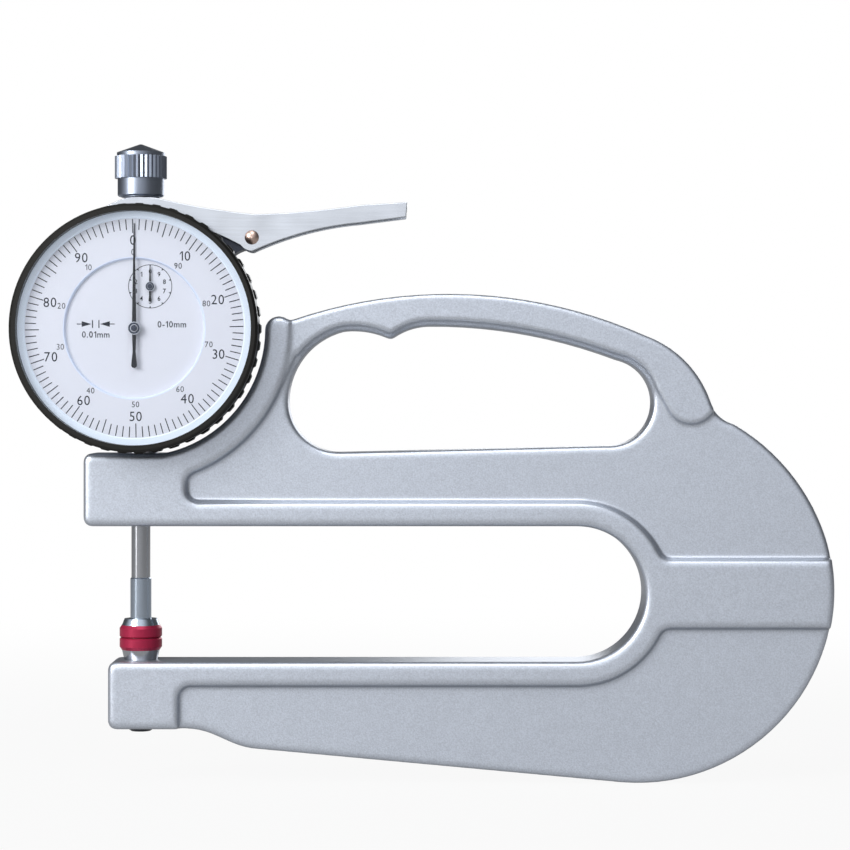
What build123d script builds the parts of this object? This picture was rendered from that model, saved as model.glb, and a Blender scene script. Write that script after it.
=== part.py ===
from build123d import *
import os
from math import acos, atan2, cos, degrees, hypot, pi, radians, sin, sqrt, tan

# Thickness gauge: a deep-throat casting that carries a plunger dial indicator.
# Millimetres. The origin is the centre of the anvil's measuring face, +Z is the
# spindle axis, the dial faces -Y and the throat runs towards +X.

# Measuring throat
measuring_range = 10.0
throat_height = 32.0
throat_reach = 120.0
anvil_height = 5.3
closed_gap = 0.02

# Frame casting
frame_thickness = 14.0
handle_thickness = 12.6
web_thickness = 10.0
upper_arm_depth = 17.3
lower_arm_depth = 16.1
upper_arm_nose = 13.0
lower_arm_nose = 7.2
throat_rim = 5.9
spine_half_height = 8.3
pocket_start_upper = 11.5
pocket_start_lower = 9.6
pocket_corner = 2.8
spine_corner = 3.0
cast_edge = 1.5
web_edge = 1.2
arm_corner = 2.0
saddle_gap = 4.0
saddle_rim = 6.5
heel_reach = 44.9
handle_rise = 8.4
handle_edge = 0.9
post_width = 5.4
grip_start = 4.0
window_lift = 11.6
outline_ease = 4.0
post_ease = 1.5
finger_stop_radius = 1.5
window_corner = 3.0

# Dial indicator
case_radius = 26.0
stem_exposed = 3.4
case_wall = 2.5
case_front_y = -8.4
case_back_y = 8.0
front_wall_y = -9.0
front_wall = 2.0
spigot_step = 1.0
spigot_front_y = -12.2
spigot_wall = 2.5
dial_seat_lap = 0.4
dial_seat_y = -13.0
dial_seat_wall = 2.4
back_cover_step = 0.6
back_cover_thickness = 1.5
cover_boss_radius = 2.2
cover_boss_lap = 0.8
cover_boss_depth = 7.0
bezel_wall = 4.0
bezel_front_y = -17.0
bezel_back_y = -8.6
bezel_lip = 2.4
bezel_edge = 0.6
bezel_ridge_count = 45
bezel_ridge_height = 0.4
bezel_ridge_front_y = -12.8
dial_ring_inner = 16.7
dial_ring_y = -13.8
dial_sheet = 0.4
dial_ring_gap = 0.4
seat_ring_width = 1.35
seat_ring_height = 1.0
crystal_edge = 1.2
crystal_rise = 0.7
crystal_bevel = 6.5
retaining_wire = 0.8
retaining_wire_gap = 4.0

# Stem, spindle and contacts
stem_radius = 4.0
stem_end_recess = 0.5
spindle_radius = 2.25
spindle_end_z = 14.25
spindle_end_gap = 0.2
stud_radius = 1.25
stud_length = 5.0
contact_shank_radius = 2.5
contact_collar_z = 4.45
contact_collar_radius = 3.9
contact_face_radius = 4.0
contact_ring_radius = 5.05
contact_ring_height = 2.95
anvil_neck_radius = 3.95
anvil_shank_radius = 3.0
anvil_shank_length = 11.0
anvil_screw_radius = 1.5
anvil_screw_head_radius = 3.15
anvil_screw_head_height = 1.0
clamp_screw_radius = 2.0
clamp_screw_drop = 8.6
bush_radius = 3.0
bush_rise = 1.6
bush_depth = 1.0
knob_rise = 5.6
knob_neck_radius = 4.6
knob_sleeve_radius = 5.53
knob_knurl_radius = 6.2
knob_knurl_depth = 0.3
knob_knurl_count = 36
knob_sleeve_height = 4.5
knob_knurl_height = 5.3
knob_band_radius = 5.7
knob_band_height = 0.9
knob_cone_height = 2.0
knob_stud_radius = 1.5
knob_stud_length = 5.6

# Lifting lever
lever_pivot_gap = 8.55
lever_pivot_angle = 39.13
lever_half_width = 4.5
lever_sheet = 0.9
lever_ear_radius = 3.3
lever_blade_length = 36.9
fork_root_x = 3.0
fork_web_x = 9.0
lever_pin_radius = 1.2
lever_rivet_head = 1.7
lever_rivet_rise = 0.7
lever_lift_clearance = 0.05
bracket_half_width = 3.4
bracket_foot = 1.0
bracket_foot_half_width = 7.4
bracket_foot_half_angle = 11.0
bracket_boss_radius = 2.8
bracket_screw_y = 6.1
bracket_screw_angle = 48.0

# Movement
rack_pitch = 0.625
rack_pinion_teeth = 16
rack_pinion_half_width = 1.2
rack_depth = 0.45
rack_pitch_depth = 0.2
wheel_teeth = 100
centre_pinion_teeth = 10
gear_module = 0.19
gear_backlash = 0.05
pressure_angle = 20.0
wheel_front_y = -5.0
wheel_thickness = 0.6
wheel_rim = 1.0
wheel_hub_radius = 1.7
wheel_spokes = 5
spoke_width = 0.9
pinion_overhang = 0.3
arbor_radius = 0.6
pivot_radius = 0.4
jewel_radius = 1.0
plate_half_width = 10.5
plate_half_height = 14.5
plate_corner = 3.0
plate_thickness = 0.8
gear_bridge_front_y = -3.2
gear_bridge_thickness = 0.6
rear_bridge_front_y = 2.6
pillar_radius = 1.3
pillar_x = 8.5
pillar_z = 12.0
side_pillar_x = 9.0
side_pillar_z = 3.0
movement_screw_radius = 0.7
movement_screw_head = 1.2
movement_screw_head_height = 0.5
guide_pin_radius = 0.7
guide_pin_height = -1.0
spring_x = 5.2
spring_coil_radius = 0.95
spring_wire_radius = 0.18
spring_turns = 7
spring_low = -13.0
spring_high = -4.0
spring_peg_radius = 0.45
hairspring_height = 0.4
hairspring_strip = 0.12
hairspring_gap = 0.45
hairspring_turns = 5
collet_radius = 1.2

# Pointers
pointer_sheet = 0.2
pointer_y = -14.75
pointer_tip_gap = 2.9
pointer_tail = 9.3
pointer_hub_radius = 1.5
pointer_hub_width = 0.97
pointer_tip_width = 0.35
pointer_hub_rise = 0.8
pointer_nose = 0.1
counter_hand_y = -13.75
counter_tip = 4.8
counter_tail = 3.5
counter_hub_radius = 1.1

# Clearances
sliding_fit = 0.03
seat_fit = 0.01
running_gap = 0.3

# Radii and heights worked out from the sizes above
saddle_radius = case_radius + saddle_gap
spigot_radius = case_radius - spigot_step
bezel_radius = spigot_radius + bezel_wall
bezel_opening = spigot_radius + bezel_lip
back_cover_radius = case_radius - back_cover_step
cover_screw_circle = case_radius - case_wall - cover_boss_radius + cover_boss_lap
inner_dial_radius = dial_ring_inner - dial_ring_gap
dial_seat_radius = inner_dial_radius - dial_seat_lap
pointer_tip = bezel_opening - pointer_tip_gap
throat_floor = -anvil_height
throat_roof = throat_floor + throat_height
throat_middle = throat_floor + throat_height / 2
throat_radius = throat_height / 2
throat_centre_x = throat_reach - throat_radius
arm_top = throat_roof + upper_arm_depth
arm_underside = throat_floor - lower_arm_depth
dial_height = arm_top + stem_exposed + case_radius
case_top = dial_height + case_radius
handle_crown_z = dial_height + handle_rise
grip_root = saddle_radius + grip_start
window_front_x = saddle_radius + post_width
window_floor = throat_roof + throat_rim + window_lift
bush_top_z = case_top + bush_rise
knob_base_z = case_top + knob_rise
spindle_top_z = knob_base_z - spindle_end_gap
knob_knurl_low_z = knob_base_z + knob_sleeve_height
knob_knurl_high_z = knob_knurl_low_z + knob_knurl_height
knob_band_z = knob_knurl_high_z + knob_band_height
knob_apex_z = knob_band_z + knob_cone_height
lever_pivot_x = (case_radius + lever_pivot_gap) * cos(radians(lever_pivot_angle))
lever_pivot_z = dial_height + (case_radius + lever_pivot_gap) * sin(radians(lever_pivot_angle))
rack_pinion_radius = rack_pitch * rack_pinion_teeth / (2 * pi)
rack_pitch_line = -(spindle_radius - rack_pitch_depth)
wheel_radius = gear_module * wheel_teeth / 2
gear_distance = gear_module * (wheel_teeth + centre_pinion_teeth) / 2
rack_arbor_x = rack_pitch_line - rack_pinion_radius
rack_arbor_z = -sqrt(gear_distance**2 - rack_arbor_x**2)
wheel_back_y = wheel_front_y + wheel_thickness
front_plate_front_y = front_wall_y + front_wall
front_plate_back_y = front_plate_front_y + plate_thickness
gear_bridge_back_y = gear_bridge_front_y + gear_bridge_thickness
rear_bridge_back_y = rear_bridge_front_y + plate_thickness
back_cover_y = case_back_y + back_cover_thickness
lever_arm = lever_pivot_x
lever_lift_height = knob_base_z - lever_lift_clearance - lever_pivot_z
lever_turn = measuring_range / lever_arm


def slab(profile, front_y, back_y):
    """Extrude a profile drawn as (x, z) between two depths."""
    placed = Plane.XZ.offset(-back_y) * profile
    return extrude(placed, amount=back_y - front_y, dir=(0, -1, 0))


def disc(radius, x=0.0, z=0.0):
    """A round profile at (x, z)."""
    return Pos(x, z) * Circle(radius)


def box_profile(x_low, x_high, z_low, z_high):
    """A rectangular profile between two corners."""
    centre = Pos((x_low + x_high) / 2, (z_low + z_high) / 2)
    return centre * Rectangle(x_high - x_low, z_high - z_low)


def dome_arc(rim_radius, rim_height, crown_height):
    """Arc from the axis to a rim, centred on the axis so that it revolves to a sphere."""
    rise = rim_height - crown_height
    ball = (rim_radius**2 + rise**2) / (2 * rise)
    middle_radius = rim_radius / 2
    sag = abs(ball) - sqrt(ball**2 - middle_radius**2)
    middle = (middle_radius, crown_height + (sag if rise > 0 else -sag))
    return ThreePointArc((0.0, crown_height), middle, (rim_radius, rim_height))


def upright(radius, low_z, high_z, x=0.0, y=0.0):
    """A round bar along Z."""
    return extrude(Plane.XY.offset(low_z) * Pos(x, y) * Circle(radius), amount=high_z - low_z)


def turned_on_spindle(points):
    """Revolve (radius, z) points about the spindle axis."""
    profile = make_face(Polyline(*points, close=True))
    return revolve(Plane.XZ * profile, Axis.Z)


def turned_on_dial(points):
    """Revolve (radius, y) points about the dial axis."""
    profile = make_face(Polyline(*points, close=True))
    return Pos(0, 0, dial_height) * revolve(profile, Axis.Y)


def on_dial(shape):
    """Lift a shape drawn about the dial centre to the dial's height."""
    return Pos(0, 0, dial_height) * shape


def point_on_circle(radius, angle, x=0.0, z=0.0):
    """The point at an angle in degrees on a circle about (x, z)."""
    return (x + radius * cos(radians(angle)), z + radius * sin(radians(angle)))


def near(shape_list, points, reach=0.6):
    """The items of a list whose centres lie at one of the (x, z) points."""
    chosen = []
    for item in shape_list:
        centre = item.center()
        if any(hypot(centre.X - x, centre.Y - z) < reach for x, z in points):
            chosen.append(item)
    return chosen


def group(solids):
    """Several separate solids as one shape."""
    return Compound(children=list(solids))


def save(name, shape):
    """Write one sub-part."""
    export_step(shape, f"parts/{name}.step")


# Frame casting

def frame_outline():
    """The casting seen from the front, without the handle's window."""
    post_low = (saddle_radius, dial_height + 0.3)
    post_top = (saddle_radius + 2.3, dial_height + 2.9)
    dip = (saddle_radius + saddle_rim - 0.7, dial_height + 2.0)
    saddle_start = (sqrt(saddle_radius**2 - (dial_height - arm_top) ** 2), arm_top)
    saddle_middle = point_on_circle(saddle_radius, -38.0, 0.0, dial_height)
    crown = (73.8, handle_crown_z)
    shoulder_start = (throat_reach + 0.2, handle_crown_z - 9.9)
    shoulder_middle = (throat_reach + 9.6, handle_crown_z - 15.9)
    shoulder_end = (throat_reach + 15.6, handle_crown_z - 25.6)
    notch = (throat_reach + 17.4, handle_crown_z - 28.6)
    back_start = (throat_reach + 21.3, handle_crown_z - 30.9)
    back_middle = (throat_reach + 34.5, throat_middle + 28.9)
    back_end = (throat_reach + heel_reach - 1.7, throat_middle + 12.8)
    heel = (throat_reach + heel_reach, throat_middle)
    heel_low = (throat_reach + heel_reach - 1.9, throat_middle - 12.2)
    belly_middle = (throat_reach + 29.2, throat_middle - 33.5)
    belly_end = (throat_reach - 5.2, throat_middle - 44.9)
    slope_end = (27.6, arm_underside - 4.8)
    slope_ease = (21.0, arm_underside - 4.2)
    flat_ease = (18.3, arm_underside - 0.2)
    flat_end = (11.2, arm_underside)
    edges = [
        Line((-lower_arm_nose, arm_underside), (-lower_arm_nose, throat_floor)),
        Line((-lower_arm_nose, throat_floor), (throat_centre_x, throat_floor)),
        ThreePointArc(
            (throat_centre_x, throat_floor), (throat_reach, throat_middle), (throat_centre_x, throat_roof)
        ),
        Line((throat_centre_x, throat_roof), (-upper_arm_nose, throat_roof)),
        Line((-upper_arm_nose, throat_roof), (-upper_arm_nose, arm_top)),
        Line((-upper_arm_nose, arm_top), saddle_start),
        ThreePointArc(saddle_start, saddle_middle, post_low),
        ThreePointArc(post_low, post_top, dip),
        ThreePointArc(dip, crown, shoulder_start),
        ThreePointArc(shoulder_start, shoulder_middle, shoulder_end),
        ThreePointArc(shoulder_end, notch, back_start),
        ThreePointArc(back_start, back_middle, back_end),
        ThreePointArc(back_end, heel, heel_low),
        ThreePointArc(heel_low, belly_middle, belly_end),
        Line(belly_end, slope_end),
        Bezier(slope_end, slope_ease, flat_ease, flat_end),
        Line(flat_end, (-lower_arm_nose, arm_underside)),
    ]
    profile = make_face(edges)
    corners = [
        (-lower_arm_nose, arm_underside),
        (-lower_arm_nose, throat_floor),
        (-upper_arm_nose, throat_roof),
        (-upper_arm_nose, arm_top),
    ]
    profile = fillet(near(profile.vertices(), corners), arm_corner)
    eased = [shoulder_start, shoulder_end, back_start, back_end, heel_low, belly_end, slope_end]
    profile = fillet(near(profile.vertices(), eased), outline_ease)
    profile = fillet(near(profile.vertices(), [saddle_start]), outline_ease)
    return fillet(near(profile.vertices(), [post_low, dip]), post_ease)


def window_outline(grow=0.0):
    """The opening under the handle, with a finger stop at the front of its roof."""
    slant = 0.7 * grow
    roof = handle_crown_z + grow
    floor = window_floor - grow
    low_front = (window_front_x + 12.6, floor)
    low_corner = (window_front_x + 3.5 - slant, window_floor + 3.6 - slant)
    front = (window_front_x - grow, window_floor + 12.3)
    high_corner = (window_front_x + 4.9 - slant, handle_crown_z - 13.5 + slant)
    high_front = (window_front_x + 13.2, roof - 8.8)
    lobe = (window_front_x + 19.2, roof - 9.05)
    stop = (window_front_x + 24.4, roof - 10.8)
    rise = (window_front_x + 27.9, roof - 8.75)
    roof_start = (window_front_x + 33.1, roof - 7.6)
    roof_middle = (throat_reach - 28.0, roof - 9.6)
    roof_end = (throat_reach - 6.3, roof - 15.65)
    back = (throat_reach + 2.0 + grow, window_floor + 11.9)
    low_back = (throat_reach - 9.0, floor + 1.5)
    edges = [
        ThreePointArc(low_front, low_corner, front),
        ThreePointArc(front, high_corner, high_front),
        ThreePointArc(high_front, lobe, stop),
        ThreePointArc(stop, rise, roof_start),
        ThreePointArc(roof_start, roof_middle, roof_end),
        ThreePointArc(roof_end, back, low_back),
        Line(low_back, low_front),
    ]
    profile = make_face(edges)
    profile = fillet(near(profile.vertices(), [stop]), finger_stop_radius)
    return fillet(near(profile.vertices(), [roof_end]), window_corner)


def upper_pocket():
    """The recess between the saddle rim, the throat rim and the spine."""
    far = throat_reach + 2 * heel_reach
    roof_rim = throat_roof + throat_rim
    spine_top = throat_middle + spine_half_height
    rim_radius = saddle_radius + saddle_rim
    region = box_profile(pocket_start_upper, far, roof_rim, 2 * handle_crown_z)
    region += box_profile(throat_centre_x, far, spine_top, handle_crown_z)
    region -= disc(throat_radius + throat_rim, throat_centre_x, throat_middle)
    region -= disc(rim_radius, 0.0, dial_height)
    nose_high = dial_height - sqrt(rim_radius**2 - pocket_start_upper**2)
    nose = [(pocket_start_upper, roof_rim), (pocket_start_upper, nose_high)]
    region = fillet(near(region.vertices(), nose), pocket_corner)
    join_x = throat_centre_x + sqrt((throat_radius + throat_rim) ** 2 - spine_half_height**2)
    return fillet(near(region.vertices(), [(join_x, spine_top)]), spine_corner)


def lower_pocket():
    """The recess under the throat rim and the spine."""
    far = throat_reach + 2 * heel_reach
    floor_rim = throat_floor - throat_rim
    spine_low = throat_middle - spine_half_height
    region = box_profile(pocket_start_lower, far, -2 * handle_crown_z, floor_rim)
    region += box_profile(throat_centre_x, far, -handle_crown_z, spine_low)
    region -= disc(throat_radius + throat_rim, throat_centre_x, throat_middle)
    region = fillet(near(region.vertices(), [(pocket_start_lower, floor_rim)]), pocket_corner)
    join_x = throat_centre_x + sqrt((throat_radius + throat_rim) ** 2 - spine_half_height**2)
    return fillet(near(region.vertices(), [(join_x, spine_low)]), spine_corner)


def handle_region():
    """The raised grip, from the post to the rounded nose behind the window."""
    above = handle_crown_z + 8.2
    root_low = (grip_root, handle_crown_z - 21.8)
    root_high = (grip_root, above)
    far_high = (throat_reach + 30.0, above)
    nose_outer = (throat_reach + 17.0, handle_crown_z - 23.2)
    nose_low = (throat_reach + 11.6, handle_crown_z - 30.9)
    nose_inner = (throat_reach + 5.6, handle_crown_z - 27.8)
    window_back = (throat_reach + 1.5, handle_crown_z - 20.3)
    window_low_back = (throat_reach - 14.0, handle_crown_z - 26.8)
    window_low_front = (window_front_x + 12.6, handle_crown_z - 26.8)
    post_inner = (window_front_x + 2.1, handle_crown_z - 14.2)
    edges = [
        Polyline(root_low, root_high, far_high, nose_outer),
        ThreePointArc(nose_outer, nose_low, nose_inner),
        Polyline(nose_inner, window_back, window_low_back, window_low_front, post_inner, root_low),
    ]
    return make_face(edges)


def round_faces(body, half_thickness, radius, from_x):
    """Round the edges of a slab's front and back faces, right of one x."""
    for depth in (-half_thickness, half_thickness):
        edges = [e for e in near_depth(body.edges(), depth) if e.center().X > from_x]
        body = fillet(edges, radius)
    return body


def near_depth(edges, depth):
    """Edges that lie at one depth."""
    return [e for e in edges if abs(e.center().Y - depth) < 0.01]


def frame_casting():
    """Web, raised rims and grip, with the stem bore, clamp screw hole and anvil seat."""
    silhouette = frame_outline() - window_outline()
    web = slab(silhouette, -web_thickness / 2, web_thickness / 2)
    web = round_faces(web, web_thickness / 2, web_edge, -upper_arm_nose - 1.0)

    raised = silhouette - upper_pocket() - lower_pocket()
    rims = slab(raised, -frame_thickness / 2, frame_thickness / 2)
    rims = round_faces(rims, frame_thickness / 2, cast_edge, -upper_arm_nose - 1.0)

    grip_profile = (silhouette & handle_region()) - window_outline(web_edge)
    grip = slab(grip_profile, -handle_thickness / 2, handle_thickness / 2)
    grip = round_faces(grip, handle_thickness / 2, handle_edge, grip_root + 0.2)

    casting = web + rims + grip
    casting -= upright(stem_radius + sliding_fit, throat_roof - 1.0, arm_top + 1.0)
    clamp_z = arm_top - clamp_screw_drop
    clamp_hole = Plane.YZ.offset(-upper_arm_nose - 1.0) * Pos(0, clamp_z) * Circle(clamp_screw_radius)
    casting -= extrude(clamp_hole, amount=upper_arm_nose + 1.0)
    seat_low = throat_floor - anvil_shank_length - running_gap
    casting -= upright(anvil_shank_radius + sliding_fit, seat_low, throat_floor + 1.0)
    casting -= upright(anvil_screw_radius + sliding_fit, arm_underside - 1.0, seat_low + 1.0)
    return casting


# Anvil and its fastening

def contact_profile(sign, base_radius, base_z):
    """Half section of a flat contact: a steel core that widens to its ring's seat."""
    ring_seat = sign * contact_ring_height
    return [
        (0.0, 0.0),
        (contact_face_radius, 0.0),
        (contact_face_radius, ring_seat),
        (contact_face_radius + 0.5, ring_seat),
        (base_radius, sign * base_z),
    ]


def anvil():
    """Lower contact: flat face, neck and a tapped shank that drops into the arm."""
    shank_low = throat_floor - anvil_shank_length
    body = turned_on_spindle(
        contact_profile(-1, anvil_neck_radius, anvil_height)
        + [
            (anvil_shank_radius, throat_floor),
            (anvil_shank_radius, shank_low),
            (0.0, shank_low),
        ]
    )
    tapped = upright(anvil_screw_radius + seat_fit, shank_low - 1.0, shank_low + 7.0)
    return body - tapped


def contact_ring(sign):
    """Coloured ring pressed round a contact face."""
    inner = contact_face_radius + seat_fit
    edge = 0.3
    taper_z = 0.75 * contact_ring_height
    return turned_on_spindle(
        [
            (inner, sign * 0.05),
            (contact_ring_radius - edge, sign * 0.05),
            (contact_ring_radius, sign * (0.05 + edge)),
            (contact_ring_radius, sign * taper_z),
            (contact_face_radius + 0.55, sign * (contact_ring_height - seat_fit)),
            (inner, sign * (contact_ring_height - seat_fit)),
        ]
    )


def anvil_screw():
    """Screw with a low domed head that pulls the anvil down on its shoulder."""
    head_low = arm_underside - anvil_screw_head_height
    return turned_on_spindle(
        [
            (0.0, head_low),
            (anvil_screw_head_radius - 0.8, head_low + 0.05),
            (anvil_screw_head_radius, arm_underside - 0.35),
            (anvil_screw_head_radius, arm_underside),
            (anvil_screw_radius, arm_underside),
            (anvil_screw_radius, throat_floor - anvil_shank_length + 6.0),
            (0.0, throat_floor - anvil_shank_length + 6.0),
        ]
    )


def stem_clamp_screw():
    """Socket set screw in the nose of the upper arm, tight against the stem."""
    clamp_z = arm_top - clamp_screw_drop
    start_x = -upper_arm_nose + 0.4
    plane = Plane.YZ.offset(start_x)
    body = extrude(plane * Pos(0, clamp_z) * Circle(clamp_screw_radius - seat_fit),
                   amount=-stem_radius - seat_fit - start_x)
    socket = extrude(plane * Pos(0, clamp_z) * RegularPolygon(1.15, 6), amount=2.0)
    return body - socket


# Case and its covers

def indicator_case():
    """Cup with a front wall, a spigot for the bezel and four bosses for the cover."""
    cup = slab(disc(case_radius), case_front_y, case_back_y)
    cup += slab(disc(spigot_radius), spigot_front_y, case_front_y)
    cup -= slab(disc(case_radius - case_wall), front_plate_front_y, case_back_y + 1.0)
    cup -= slab(disc(spigot_radius - spigot_wall), spigot_front_y - 1.0, front_wall_y)
    dial_seat = disc(dial_seat_radius) - disc(dial_seat_radius - dial_seat_wall)
    cup += slab(dial_seat, dial_seat_y, front_wall_y)
    for angle in cover_screw_angles():
        x, z = point_on_circle(cover_screw_circle, angle)
        cup += slab(disc(cover_boss_radius, x, z), case_back_y - cover_boss_depth, case_back_y)
        cup -= slab(disc(movement_screw_radius + sliding_fit, x, z), case_back_y - 5.0, case_back_y + 1.0)
    cup = cup & slab(disc(case_radius), dial_seat_y - 1.0, case_back_y)
    cup -= retaining_groove(spigot_radius - retaining_wire - 0.1, spigot_radius + 1.0)
    cup -= slab(disc(arbor_radius + 0.7), dial_seat_y - 1.0, front_plate_front_y + 1.0)
    cup -= slab(disc(arbor_radius + 0.5, -rack_arbor_x, -rack_arbor_z), front_wall_y - 1.0,
                front_plate_front_y + 1.0)
    cup = on_dial(cup)
    case_bottom = dial_height - case_radius
    cup -= upright(stem_radius + seat_fit, case_bottom - 1.0, case_bottom + case_wall + 1.0)
    cup -= upright(bush_radius + seat_fit, case_top - case_wall - 1.0, case_top + 1.0)
    for side in (-1, 1):
        cup -= bracket_screw_hole(side)
    return cup


def cover_screw_angles():
    """Directions of the back cover's screws."""
    return [45.0, 135.0, 225.0, 315.0]


def retaining_groove(inner, outer):
    """Ring-shaped space for the bezel's retaining wire."""
    middle = retaining_wire_y()
    half = retaining_wire / 2 + 0.05
    return slab(disc(outer) - disc(inner), middle - half, middle + half)


def retaining_wire_y():
    """Depth of the retaining wire, halfway along the spigot."""
    return (spigot_front_y + case_front_y) / 2


def bezel_retaining_wire():
    """Open flat wire ring in the spigot's groove that keeps the bezel on."""
    outer = spigot_radius - 0.02
    gap = box_profile(-retaining_wire_gap / 2, retaining_wire_gap / 2, -outer - 1.0, 0.0)
    ring = disc(outer) - disc(outer - retaining_wire) - gap
    middle = retaining_wire_y()
    return on_dial(slab(ring, middle - retaining_wire / 2, middle + retaining_wire / 2))


def stem():
    """Mounting stem between the case and the arm, bored for the spindle."""
    low = throat_roof + stem_end_recess
    high = dial_height - case_radius + case_wall + 0.5
    tube = upright(stem_radius, low, high)
    return tube - upright(spindle_radius + sliding_fit, low - 1.0, high + 1.0)


def upper_bush():
    """Guide bush for the spindle in the top of the case."""
    low = case_top - case_wall - bush_depth
    tube = upright(bush_radius, low, bush_top_z)
    tube = chamfer(tube.edges().group_by(Axis.Z)[-1], 0.3)
    return tube - upright(spindle_radius + sliding_fit, low - 1.0, bush_top_z + 1.0)


def back_cover():
    """Round rear cover with a shallow dished face and countersunk screw seats."""
    cover = slab(disc(back_cover_radius), case_back_y, back_cover_y)
    cover = chamfer(near_depth(cover.edges(), back_cover_y), 0.5)
    for angle in cover_screw_angles():
        x, z = point_on_circle(cover_screw_circle, angle)
        cover -= slab(disc(movement_screw_radius + sliding_fit, x, z), case_back_y - 1.0, back_cover_y)
        cover -= slab(disc(cover_screw_head() + 0.05, x, z), back_cover_y - 0.9, back_cover_y + 1.0)
    return on_dial(cover)


def cover_screw_head():
    """Head radius of the cover screws."""
    return movement_screw_head + 0.3


def back_cover_screws():
    """Four cheese-head screws, flush with the cover."""
    screws = []
    for angle in cover_screw_angles():
        x, z = point_on_circle(cover_screw_circle, angle)
        screw = slab(disc(movement_screw_radius, x, z), case_back_y - 4.5, back_cover_y - 0.8)
        screw += slab(disc(cover_screw_head(), x, z), back_cover_y - 0.9, back_cover_y - 0.05)
        slot = Pos(x, z) * Rectangle(2 * cover_screw_head() + 1.0, 0.4)
        screw -= slab(slot, back_cover_y - 0.4, back_cover_y + 1.0)
        screws.append(on_dial(screw))
    return group(screws)


# Bezel, dial and glass

def bezel():
    """Turning bezel with ridges round its rear half and a groove for its wire."""
    bore = spigot_radius + sliding_fit
    ledge_inner = spigot_radius - 1.0
    ledge_back_y = spigot_front_y - 0.2
    body = turned_on_dial(
        [
            (bore, bezel_back_y),
            (bezel_radius, bezel_back_y),
            (bezel_radius, bezel_front_y + bezel_edge),
            (bezel_radius - bezel_edge, bezel_front_y),
            (bezel_opening, bezel_front_y),
            (bezel_opening, dial_ring_y),
            (ledge_inner, dial_ring_y),
            (ledge_inner, ledge_back_y),
            (bore, ledge_back_y),
        ]
    )
    body += on_dial(slab(bezel_ridges(), bezel_ridge_front_y, bezel_back_y))
    return body - on_dial(retaining_groove(spigot_radius - 1.0, spigot_radius + 0.5))


def bezel_ridges():
    """Ring whose outline rises in evenly spaced ridges."""
    pitch = 360.0 / bezel_ridge_count
    top = bezel_radius + bezel_ridge_height
    points = []
    for index in range(bezel_ridge_count):
        middle = index * pitch
        points.append(point_on_circle(bezel_radius, middle - 0.32 * pitch))
        points.append(point_on_circle(top, middle - 0.2 * pitch))
        points.append(point_on_circle(top, middle + 0.2 * pitch))
        points.append(point_on_circle(bezel_radius, middle + 0.32 * pitch))
    return make_face(Polyline(*points, close=True)) - disc(bezel_radius - 1.0)


def dial_ring():
    """Outer graduated ring, which turns with the bezel."""
    ring = disc(bezel_opening - 0.05) - disc(dial_ring_inner)
    return on_dial(slab(ring, dial_ring_y - dial_sheet, dial_ring_y))


def inner_dial():
    """Fixed dial plate with holes for the two pointer arbors."""
    plate = disc(inner_dial_radius) - disc(arbor_radius + 0.5)
    plate -= disc(arbor_radius + 0.3, -rack_arbor_x, -rack_arbor_z)
    return on_dial(slab(plate, dial_seat_y - dial_sheet, dial_seat_y))


def dial_front_y():
    """Depth of the graduated ring's face."""
    return dial_ring_y - dial_sheet


def crystal_back_y():
    """Depth of the glass's rim."""
    return dial_front_y() - seat_ring_height


def crystal_seat_ring():
    """Pale spacer ring between the graduated ring and the glass."""
    outer = bezel_opening - 0.05
    ring = disc(outer) - disc(outer - seat_ring_width)
    return on_dial(slab(ring, crystal_back_y(), dial_front_y()))


def crystal():
    """Raised window: a flat middle, a wide bevel round it and a flat rim."""
    rim = bezel_opening - 0.05
    shoulder = rim - seat_ring_width
    middle = rim - crystal_bevel
    back = crystal_back_y()
    front = back - crystal_edge
    raised = front - crystal_rise
    return turned_on_dial(
        [
            (0.0, raised),
            (middle, raised),
            (rim, front),
            (rim, back),
            (shoulder, back),
            (middle, raised + crystal_edge),
            (0.0, raised + crystal_edge),
        ]
    )


# Spindle, upper contact and knob

def spindle():
    """Measuring spindle: guide bar, rack on its flank and a stud for the knob."""
    bar = upright(spindle_radius, spindle_end_z, spindle_top_z)
    bar = chamfer(bar.edges().group_by(Axis.Z)[-1], 0.2)
    bar += upright(knob_stud_radius, spindle_top_z - 1.0, knob_base_z + knob_stud_length)
    bar -= upright(stud_radius + seat_fit, spindle_end_z - 1.0, spindle_end_z + stud_length + 0.5)
    mesh_z = dial_height + rack_arbor_z
    grooves_below = round((measuring_range + 1.2) / rack_pitch)
    for index in range(-grooves_below, 3):
        bar -= rack_groove(mesh_z + index * rack_pitch)
    bar -= rod_along_y(guide_pin_radius + seat_fit, 0.0, dial_height + guide_pin_height, -0.5, 3.0)
    bar -= rod_along_x(spring_peg_radius + seat_fit, dial_height + spring_high, -0.5, 3.0)
    return bar


def rack_groove(middle_z):
    """One tooth space of the rack, cut straight across the spindle's flank."""
    flank = tan(radians(pressure_angle))
    half = rack_pitch / 4 + gear_backlash / 2
    floor_x = -(spindle_radius - rack_depth)
    outer_x = -(spindle_radius + 0.3)
    half_floor = half - abs(rack_pitch_line - floor_x) * flank
    half_outer = half + abs(outer_x - rack_pitch_line) * flank
    points = [
        (floor_x, middle_z - half_floor),
        (outer_x, middle_z - half_outer),
        (outer_x, middle_z + half_outer),
        (floor_x, middle_z + half_floor),
    ]
    return slab(make_face(Polyline(*points, close=True)), -spindle_radius, spindle_radius)


def rod_along_y(radius, x, z, front_y, back_y):
    """A round pin along Y."""
    return slab(disc(radius, x, z), front_y, back_y)


def rod_along_x(radius, z, x_low, x_high, y=0.0):
    """A round pin along X."""
    return extrude(Plane.YZ.offset(x_low) * Pos(y, z) * Circle(radius), amount=x_high - x_low)


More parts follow.
